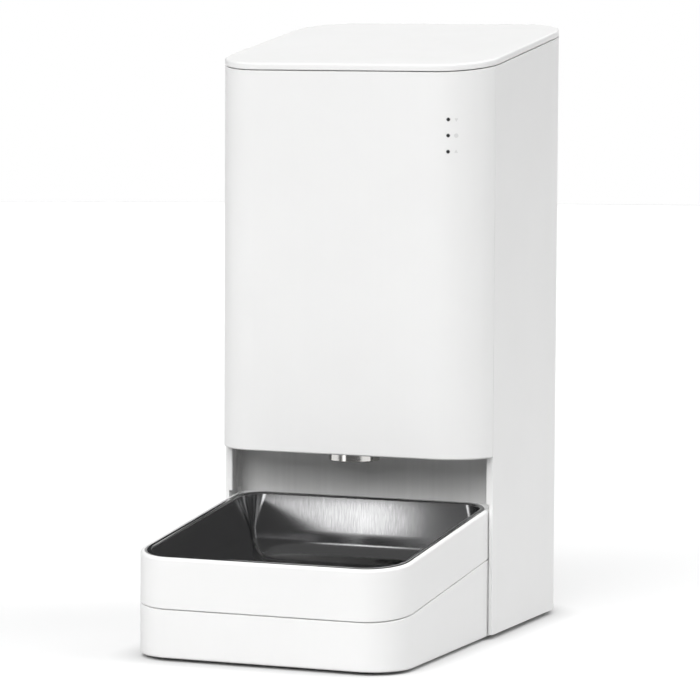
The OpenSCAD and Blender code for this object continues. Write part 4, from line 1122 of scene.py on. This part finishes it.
class FEEDER_OT_food_bin(bpy.types.Operator):
    """Lift-out bin with its rim, funnel and skirt, and the round wheel housing under it"""

    bl_idname = "feeder.food_bin"
    bl_label = "Food bin"

    def execute(self, context):
        m = measures(context)
        a, b = low("food_bin"), high("food_bin")
        rim, wall, corner = m.bin_rim, m.bin_wall, m.bin_corner
        half, y0, y1 = b.x - rim, a.y + rim, b.y - rim
        axis = (low("wheel_housing").y + high("wheel_housing").y) / 2
        round_r = (high("wheel_housing").x - low("wheel_housing").x) / 2
        funnel_z = high("wheel_housing").z
        body_z = funnel_z + 36
        drop = -3.2

        def body(inset, height):
            return lift_ring(inset_ring(half, y0, y1, corner, corner, m.steps, inset), height)

        def hoop(radius, height):
            return lift_ring(rounded(radius, axis - radius, axis + radius, radius, radius, m.steps), height)

        def tilted(inset, k):
            return body(inset, lambda y: lid_plane(m, y, k))

        mouth = ((0, -2.2), (-rim + 0.3, -2.2), (-rim, -1.9), (-rim, -0.5), (-rim + 0.5, 0), (wall - 0.6, 0),
                 (wall, -0.6))
        skirt = round_r + 0.1
        rows = [hoop(round_r, funnel_z + 3), body(0, body_z)]
        rows += [tilted(inset, drop + k) for inset, k in mouth]
        rows += [body(wall, body_z), hoop(round_r - wall, funnel_z)]
        rows += [hoop(skirt, funnel_z), hoop(skirt, a.z + 0.3), hoop(skirt + 0.3, a.z), hoop(skirt + 1.7, a.z)]
        rows += [hoop(skirt + 2, a.z + 0.3), hoop(skirt + 2, funnel_z + 3)]
        bm = bmesh.new()
        loft(bm, rows, loop=True)
        piece("bin_body", bm, "bin_plastic", "bin", ("food_bin",))
        return {"FINISHED"}


class FEEDER_OT_wheel(bpy.types.Operator):
    """Hub of the portion wheel with its cross-shaped socket, and the blades round it"""

    bl_idname = "feeder.wheel"
    bl_label = "Portion wheel"

    def execute(self, context):
        a, b = low("portion_wheel"), high("portion_wheel")
        axis = (low("wheel_housing").y + high("wheel_housing").y) / 2
        journal_z = a.z
        cell_h = 24
        wheel_z = b.z - cell_h
        bm = bmesh.new()
        turned(bm, [(13, journal_z), (13, wheel_z - 0.7), (17, wheel_z - 0.7), (17, wheel_z), (17.7, wheel_z),
                    (18, wheel_z + 0.3), (18, b.z - 0.3), (17.7, b.z)], at(0, axis, 0), steps=64)
        cuts = bmesh.new()
        far, near = 8.75, 2.75
        quarter = ((far, near), (near, near), (near, far))
        turns = ((1, 1, quarter), (-1, 1, quarter[::-1]), (-1, -1, quarter), (1, -1, quarter[::-1]))
        cross = [(sx * x, sy * y) for sx, sy, part in turns for x, y in part]
        loft(cuts, [[(x, axis + y, z) for x, y in cross] for z in (journal_z - 1, journal_z + 9)])
        piece("wheel_hub", bm, "wheel_plastic", "wheel", ("portion_wheel",), cuts, edge=0.2)
        grown(
            "wheel_blades", blade_tree(), [((0, axis, wheel_z + cell_h / 2), UP)], "wheel_plastic", "wheel",
            sizes={"Cells": 6, "Inner radius": 17 * MM, "Outer radius": 49 * MM, "Thickness": 2.4 * MM,
                   "Height": 23.99 * MM},
        )
        return {"FINISHED"}


# ---------- fasteners, springs and feet ----------


class FEEDER_OT_screws(bpy.types.Operator):
    """All pan-head screws of the tower, one mesh for each group"""

    bl_idname = "feeder.screws"
    bl_label = "Screws"

    def execute(self, context):
        m = measures(context)
        tree = screw_tree()
        sizes = {"Head radius": m.screw_head * MM, "Head height": 1.4 * MM, "Shank radius": m.screw_shank * MM,
                 "Shank length": 9 * MM}
        case = [((x, y, m.plate_top - 1), DOWN) for x, y in columns(m)]
        deck = [((x, y, m.deck_top - 1.6), UP) for x, y in columns(m)]
        grown("case_screw_set", tree, case, "bright_metal", "tower", ("case_screws",), sizes)
        grown("deck_screw_set", tree, deck, "bright_metal", "tower", ("deck_screws",), sizes)
        return {"FINISHED"}


class FEEDER_OT_springs(bpy.types.Operator):
    """Coiled battery contacts on their plates"""

    bl_idname = "feeder.springs"
    bl_label = "Battery springs"

    def execute(self, context):
        m = measures(context)
        a, b = low("battery_springs"), high("battery_springs")
        pitch = (b.x - a.x - 14) / 2
        z = (a.z + b.z) / 2
        plates = bmesh.new()
        places = []
        for k in range(3):
            x = a.x + 7 + k * pitch
            box(plates, (x - 7, a.y, z - 8), (x + 7, a.y + 0.5, z + 8))
            places.append(((x, a.y + 0.5 + m.spring_wire / 2, z), BACKWARD))
        piece("spring_plates", plates, "bright_metal", "tower", edge=0.15)
        grown(
            "spring_coils", spring_tree(), places, "bright_metal", "tower", ("battery_springs",),
            {"Large radius": 5.6 * MM, "Small radius": 3.2 * MM, "Height": (b.y - a.y - 0.5 - m.spring_wire) * MM,
             "Turns": m.spring_turns, "Wire": m.spring_wire / 2 * MM},
        )
        return {"FINISHED"}


class FEEDER_OT_feet(bpy.types.Operator):
    """Rubber feet with a soft edge and a shallow cup"""

    bl_idname = "feeder.feet"
    bl_label = "Feet"

    def execute(self, context):
        r = 7
        base = ("base_foot_set", "base_feet", "base", None)
        tower = ("tower_foot_set", "tower_feet", "tower", 54)
        for name, node, body, front_x in (base, tower):
            a, b = low(node), high(node)
            profile = [(4.2, 0.35), (4.6, 0.05), (5.0, 0), (6.3, 0), (6.8, 0.25), (r, 0.8), (r, b.z)]
            bm = bmesh.new()
            for x, y in ((front_x or b.x - r, a.y + r), (b.x - r, b.y - r)):
                for s in (-1, 1):
                    turned(bm, profile, at(s * x, y, 0))
            piece(name, bm, "soft_rubber", body, (node,))
        return {"FINISHED"}


class FEEDER_OT_indicators(bpy.types.Operator):
    """Indicator dots with a slight dome, their rims and small plain marks beside them"""

    bl_idname = "feeder.indicators"
    bl_label = "Indicators"

    def execute(self, context):
        m = measures(context)
        a, b = low("indicator_lenses"), high("indicator_lenses")
        middle = (a.z + b.z) / 2
        lens = (b.z - a.z) / 2 - (m.dot_d / 2 + 0.8)
        r = m.dot_d / 2
        dots, rings = bmesh.new(), bmesh.new()
        for k in (-1, 0, 1):
            place = self.on_corner(m, 17.6, 3, middle + k * lens)
            turned(dots, [(r, 0), (r, 2.98), (r * 0.8, 3.06), (r * 0.45, 3.1)], place, steps=24)
            turned(rings, self.rim(r), place, steps=32)
        piece("dots", dots, "dark_plastic", "tower", ("indicator_lenses",))
        piece("dot_rims", rings, "inner_plastic", "tower")
        marks = bmesh.new()
        for k, sides, roll in ((-1, 3, 180), (0, 24, 180), (1, 3, 360)):
            place = self.on_corner(m, 26.5, 0.4, middle + k * lens, roll)
            turned(marks, [(1.25, 0), (1.25, 0.43), (1.2, 0.45)], place, steps=sides)
        piece("plain_marks", marks, "inner_plastic", "tower", smooth=False)
        return {"FINISHED"}

    def on_corner(self, m, degrees, depth, z, roll=0):
        """Matrix that points out of the front right corner, from a depth under its face."""
        turn = math.radians(degrees - 90)
        start = m.axis + Vector((math.cos(turn), math.sin(turn))) * (m.corner - depth)
        spin = Matrix.Rotation(turn, 4, "Z") @ Matrix.Rotation(math.radians(90), 4, "Y")
        return at(start.x, start.y, z, spin @ Matrix.Rotation(math.radians(roll), 4, "Z"))

    def rim(self, r):
        """Section of a dot's raised rim."""
        return [(r + 0.01, 2.5), (r + 0.3, 2.5), (r + 0.3, 3.0), (r + 0.2, 3.02), (r + 0.02, 3.0)]


class FEEDER_OT_finishes(bpy.types.Operator):
    """Gives every CAD node that stays its procedural finish"""

    bl_idname = "feeder.finishes"
    bl_label = "Node finishes"

    def execute(self, context):
        slots = {m["slot"] for m in frame["record"]["materials"]}
        for name, obj in frame["nodes"].items():
            for item in obj.material_slots:
                slot = item.material.name.split(".")[0]
                if slot not in slots:
                    raise RuntimeError(f"{name} has no known slot: {slot}")
                item.material = finish(slot)
        return {"FINISHED"}


# ---------- studio ----------


class FEEDER_OT_studio(bpy.types.Operator):
    """Pale floor and low backdrop, soft lamps, a dim room and the camera"""

    bl_idname = "feeder.studio"
    bl_label = "Studio and camera"

    def execute(self, context):
        self.stage()
        self.cards()
        self.lamps()
        self.room(context.scene)
        self.camera(context.scene)
        context.scene.view_settings.view_transform = "Standard"
        return {"FINISHED"}

    def staged(self, name, bm, material):
        """Stage object from a bmesh in metres."""
        mesh = bpy.data.meshes.new(name)
        bm.to_mesh(mesh)
        bm.free()
        mesh.materials.append(material)
        obj = linked(name, mesh)
        return obj

    def stage(self):
        """Round floor, and a low wall of paper just inside its edge."""
        tone = bpy.context.scene.feeder_colours.floor
        around, radius, wall_radius = 96, 5.5, 5.4
        floor = bmesh.new()
        bmesh.ops.create_circle(floor, cap_ends=True, radius=radius, segments=around)
        self.staged("floor", floor, self.paper("floor", tone))
        wall = bmesh.new()
        bottom, top = ([wall.verts.new(p) for p in circle(wall_radius, z, around)] for z in (-0.02, 0.45))
        for i in range(around):
            j = (i + 1) % around
            wall.faces.new((bottom[j], bottom[i], top[i], top[j]))
        self.staged("backdrop", wall, self.paper("backdrop", tone))

    def paper(self, name, tone):
        """Matt paper that reads as white to the camera and in reflections, and keeps its shadows; on the floor the
        white glow is dimmed by ambient occlusion, a painted contact shadow under the object.
        """
        material, tree, shader = surface(name + "_paper")
        fill(tree, shader, Base_Color=rgba(tone), Roughness=0.9, Specular_IOR_Level=0.0)
        path = add(tree, "ShaderNodeLightPath").outputs
        seen = math_node(tree, "MAXIMUM", path["Is Camera Ray"], path["Is Glossy Ray"])
        seen = math_node(tree, "MAXIMUM", seen, path["Is Transmission Ray"])
        glow = add(tree, "ShaderNodeEmission", Color=(1, 1, 1, 1))
        if name == "floor":
            # painted contact shadow: ambient occlusion dims the floor's white glow where the object stands close
            # over it
            near = add(tree, "ShaderNodeAmbientOcclusion", samples=8, Distance=0.02).outputs["AO"]
            fill(tree, glow, Strength=scaled(tree, seen, scaled(tree, near, 0.5)))
            both, parts = add(tree, "ShaderNodeAddShader"), (shader, glow)
        else:
            both, parts = add(tree, "ShaderNodeMixShader"), (seen, shader, glow)
        for socket, part in zip(both.inputs, parts):
            feed(tree, socket, part)
        fill(tree, tree.nodes["Material Output"], Surface=both)
        return material

    def cards(self):
        """A dark curtain and a lit strip curved round the bowl's rear wall, seen in its steel and nowhere else."""
        screen = self.lit("screen_paper", ((-1.0, 0.13), (1.0, 0.13)), ((0.0, 1.0), (1.0, 1.0)))
        self.curtain("screen", screen, (-2400, 800), 500, (-20, 95))
        across = (
            (-0.187, 1.3), (-0.180, 1.4), (-0.170, 1.4), (-0.160, 1.45), (-0.150, 1.7), (-0.1406, 2.0),
            (-0.1285, 2.25), (-0.1185, 2.35), (-0.107, 2.35), (-0.098, 2.3), (-0.0904, 2.1), (-0.085, 1.6),
            (-0.080, 1.0), (-0.075, 0.5), (-0.068, 0.2), (-0.060, 0.12),
        )
        upward = ((0.040, 0.4), (0.054, 0.5), (0.064, 0.85), (0.074, 1.0), (0.083, 1.2), (0.088, 1.0))
        self.curtain("glow_strip", self.lit("glow_paper", across, upward), (-187, -60), 285, (-1, 8.7))

    def curtain(self, name, material, ends, radius, angles):
        """Arc of paper round the line of the bowl's rear wall, in millimetres, kept for glossy rays."""
        bm = bmesh.new()
        rows = []
        y0, z0, steps = 15, 45, 24
        for k in range(steps + 1):
            a = math.radians(angles[0] + (angles[1] - angles[0]) * k / steps)
            y, z = y0 - radius * math.cos(a), z0 + radius * math.sin(a)
            rows.append([bm.verts.new(Vector((x, y, z)) * MM) for x in ends])
        for (a, b), (c, d) in zip(rows, rows[1:]):
            bm.faces.new((a, b, d, c))
        obj = self.staged(name, bm, material)
        for ray in ("camera", "diffuse", "transmission", "volume_scatter", "shadow"):
            setattr(obj, "visible_" + ray, False)

    def lit(self, name, across, upward):
        """Glowing paper whose strength changes along X and Z, from (place, strength) pairs for each."""
        material, tree, shader = surface(name)
        tree.nodes.remove(shader)
        parts = add(tree, "ShaderNodeSeparateXYZ", Vector=place_of(tree)).outputs
        top = max(v for _, v in across)
        shares = []
        for axis, steps in (("X", [(p, v / top) for p, v in across]), ("Z", upward)):
            first, last = steps[0][0], steps[-1][0]
            share = add(tree, "ShaderNodeValToRGB", Fac=spread(tree, parts[axis], across=(first, last)))
            stops = share.color_ramp.elements
            while len(stops) < len(steps):
                stops.new(0.5)
            for stop, (p, v) in zip(stops, steps):
                stop.position = (p - first) / (last - first)
                stop.color = (v, v, v, 1)
            shares.append(share.outputs["Color"])
        glow = add(tree, "ShaderNodeEmission", Color=scaled(tree, *shares), Strength=top)
        fill(tree, tree.nodes["Material Output"], Surface=glow)
        return material

    def lamps(self):
        """Soft parallel lights, each from a direction, with a strength and a spread; not seen in reflections."""
        for name, towards, strength, degrees in (
            ("front_key", (0.0, -0.79, 0.62), 2.3, 50),
            ("left_key", (-0.39, -0.68, 0.62), 0.6, 50),
            ("side_fill", (0.66, 0.38, 0.64), 1.8, 50),
            ("top", (0.0, 0.05, 1.0), 0.8, 60),
        ):
            data = bpy.data.lights.new(name, "SUN")
            data.energy = strength
            data.angle = math.radians(degrees)
            obj = linked(name, data)
            obj.rotation_euler = Vector(towards).to_track_quat("Z", "Y").to_euler()
            obj.visible_glossy = False

    def room(self, scene):
        """Dim grey room for reflections and a little even light."""
        world = bpy.data.worlds.new("room")
        world.use_nodes = True
        fill(world.node_tree, world.node_tree.nodes["Background"], Color=(0.95, 0.97, 1.0, 1), Strength=0.05)
        scene.world = world

    def camera(self, scene):
        """Long lens from the front right, a little above the bowl, with a slight roll."""
        azimuth, elevation, roll = (math.radians(v) for v in (22.06, 4.88, 0.294))
        target = Vector((-29.37, 65.0, 158.665)) * MM
        distance = 2.2677
        right = Vector((math.cos(azimuth), math.sin(azimuth), 0))
        back = Vector((math.sin(azimuth) * math.cos(elevation), -math.cos(azimuth) * math.cos(elevation),
                       math.sin(elevation)))
        up = back.cross(right)
        tipped_right = right * math.cos(roll) + up * math.sin(roll)
        tipped_up = up * math.cos(roll) - right * math.sin(roll)
        data = bpy.data.cameras.new("view")
        data.sensor_width = 36
        data.lens = 195.4
        data.clip_start, data.clip_end = 0.05, 60
        obj = linked("view", data)
        turn = Matrix((tipped_right, tipped_up, back)).transposed().to_4x4()
        obj.matrix_world = Matrix.Translation(target + back * distance) @ turn
        scene.camera = obj


class FEEDER_PT_panel(bpy.types.Panel):
    """Sidebar panel with the sizes, the colours and a button for each group of pieces"""

    bl_idname = "FEEDER_PT_panel"
    bl_label = "Pet feeder"
    bl_space_type = "VIEW_3D"
    bl_region_type = "UI"
    bl_category = "Feeder"

    def draw(self, context):
        layout = self.layout
        for holder in (context.scene.feeder_sizes, context.scene.feeder_colours):
            area = layout.box()
            for key in holder.__annotations__:
                area.prop(holder, key)
        column = layout.column(align=True)
        for operator in OPERATORS:
            column.operator(operator.bl_idname)


OPERATORS = (
    FEEDER_OT_studio,
    FEEDER_OT_outer_shell,
    FEEDER_OT_front_cover,
    FEEDER_OT_recess,
    FEEDER_OT_lid,
    FEEDER_OT_bowl_base,
    FEEDER_OT_bowl,
    FEEDER_OT_food_bin,
    FEEDER_OT_wheel,
    FEEDER_OT_screws,
    FEEDER_OT_springs,
    FEEDER_OT_feet,
    FEEDER_OT_indicators,
    FEEDER_OT_finishes,
)
CLASSES = (FeederSizes, FeederColours, *OPERATORS, FEEDER_PT_panel)


def register():
    for cls in CLASSES:
        bpy.utils.register_class(cls)
    bpy.types.Scene.feeder_sizes = PointerProperty(type=FeederSizes)
    bpy.types.Scene.feeder_colours = PointerProperty(type=FeederColours)


def unregister():
    del bpy.types.Scene.feeder_colours
    del bpy.types.Scene.feeder_sizes
    for cls in reversed(CLASSES):
        bpy.utils.unregister_class(cls)


def main():
    register()
    for operator in OPERATORS:
        family, name = operator.bl_idname.split(".")
        getattr(getattr(bpy.ops, family), name)()


if __name__ == "__main__":
    main()
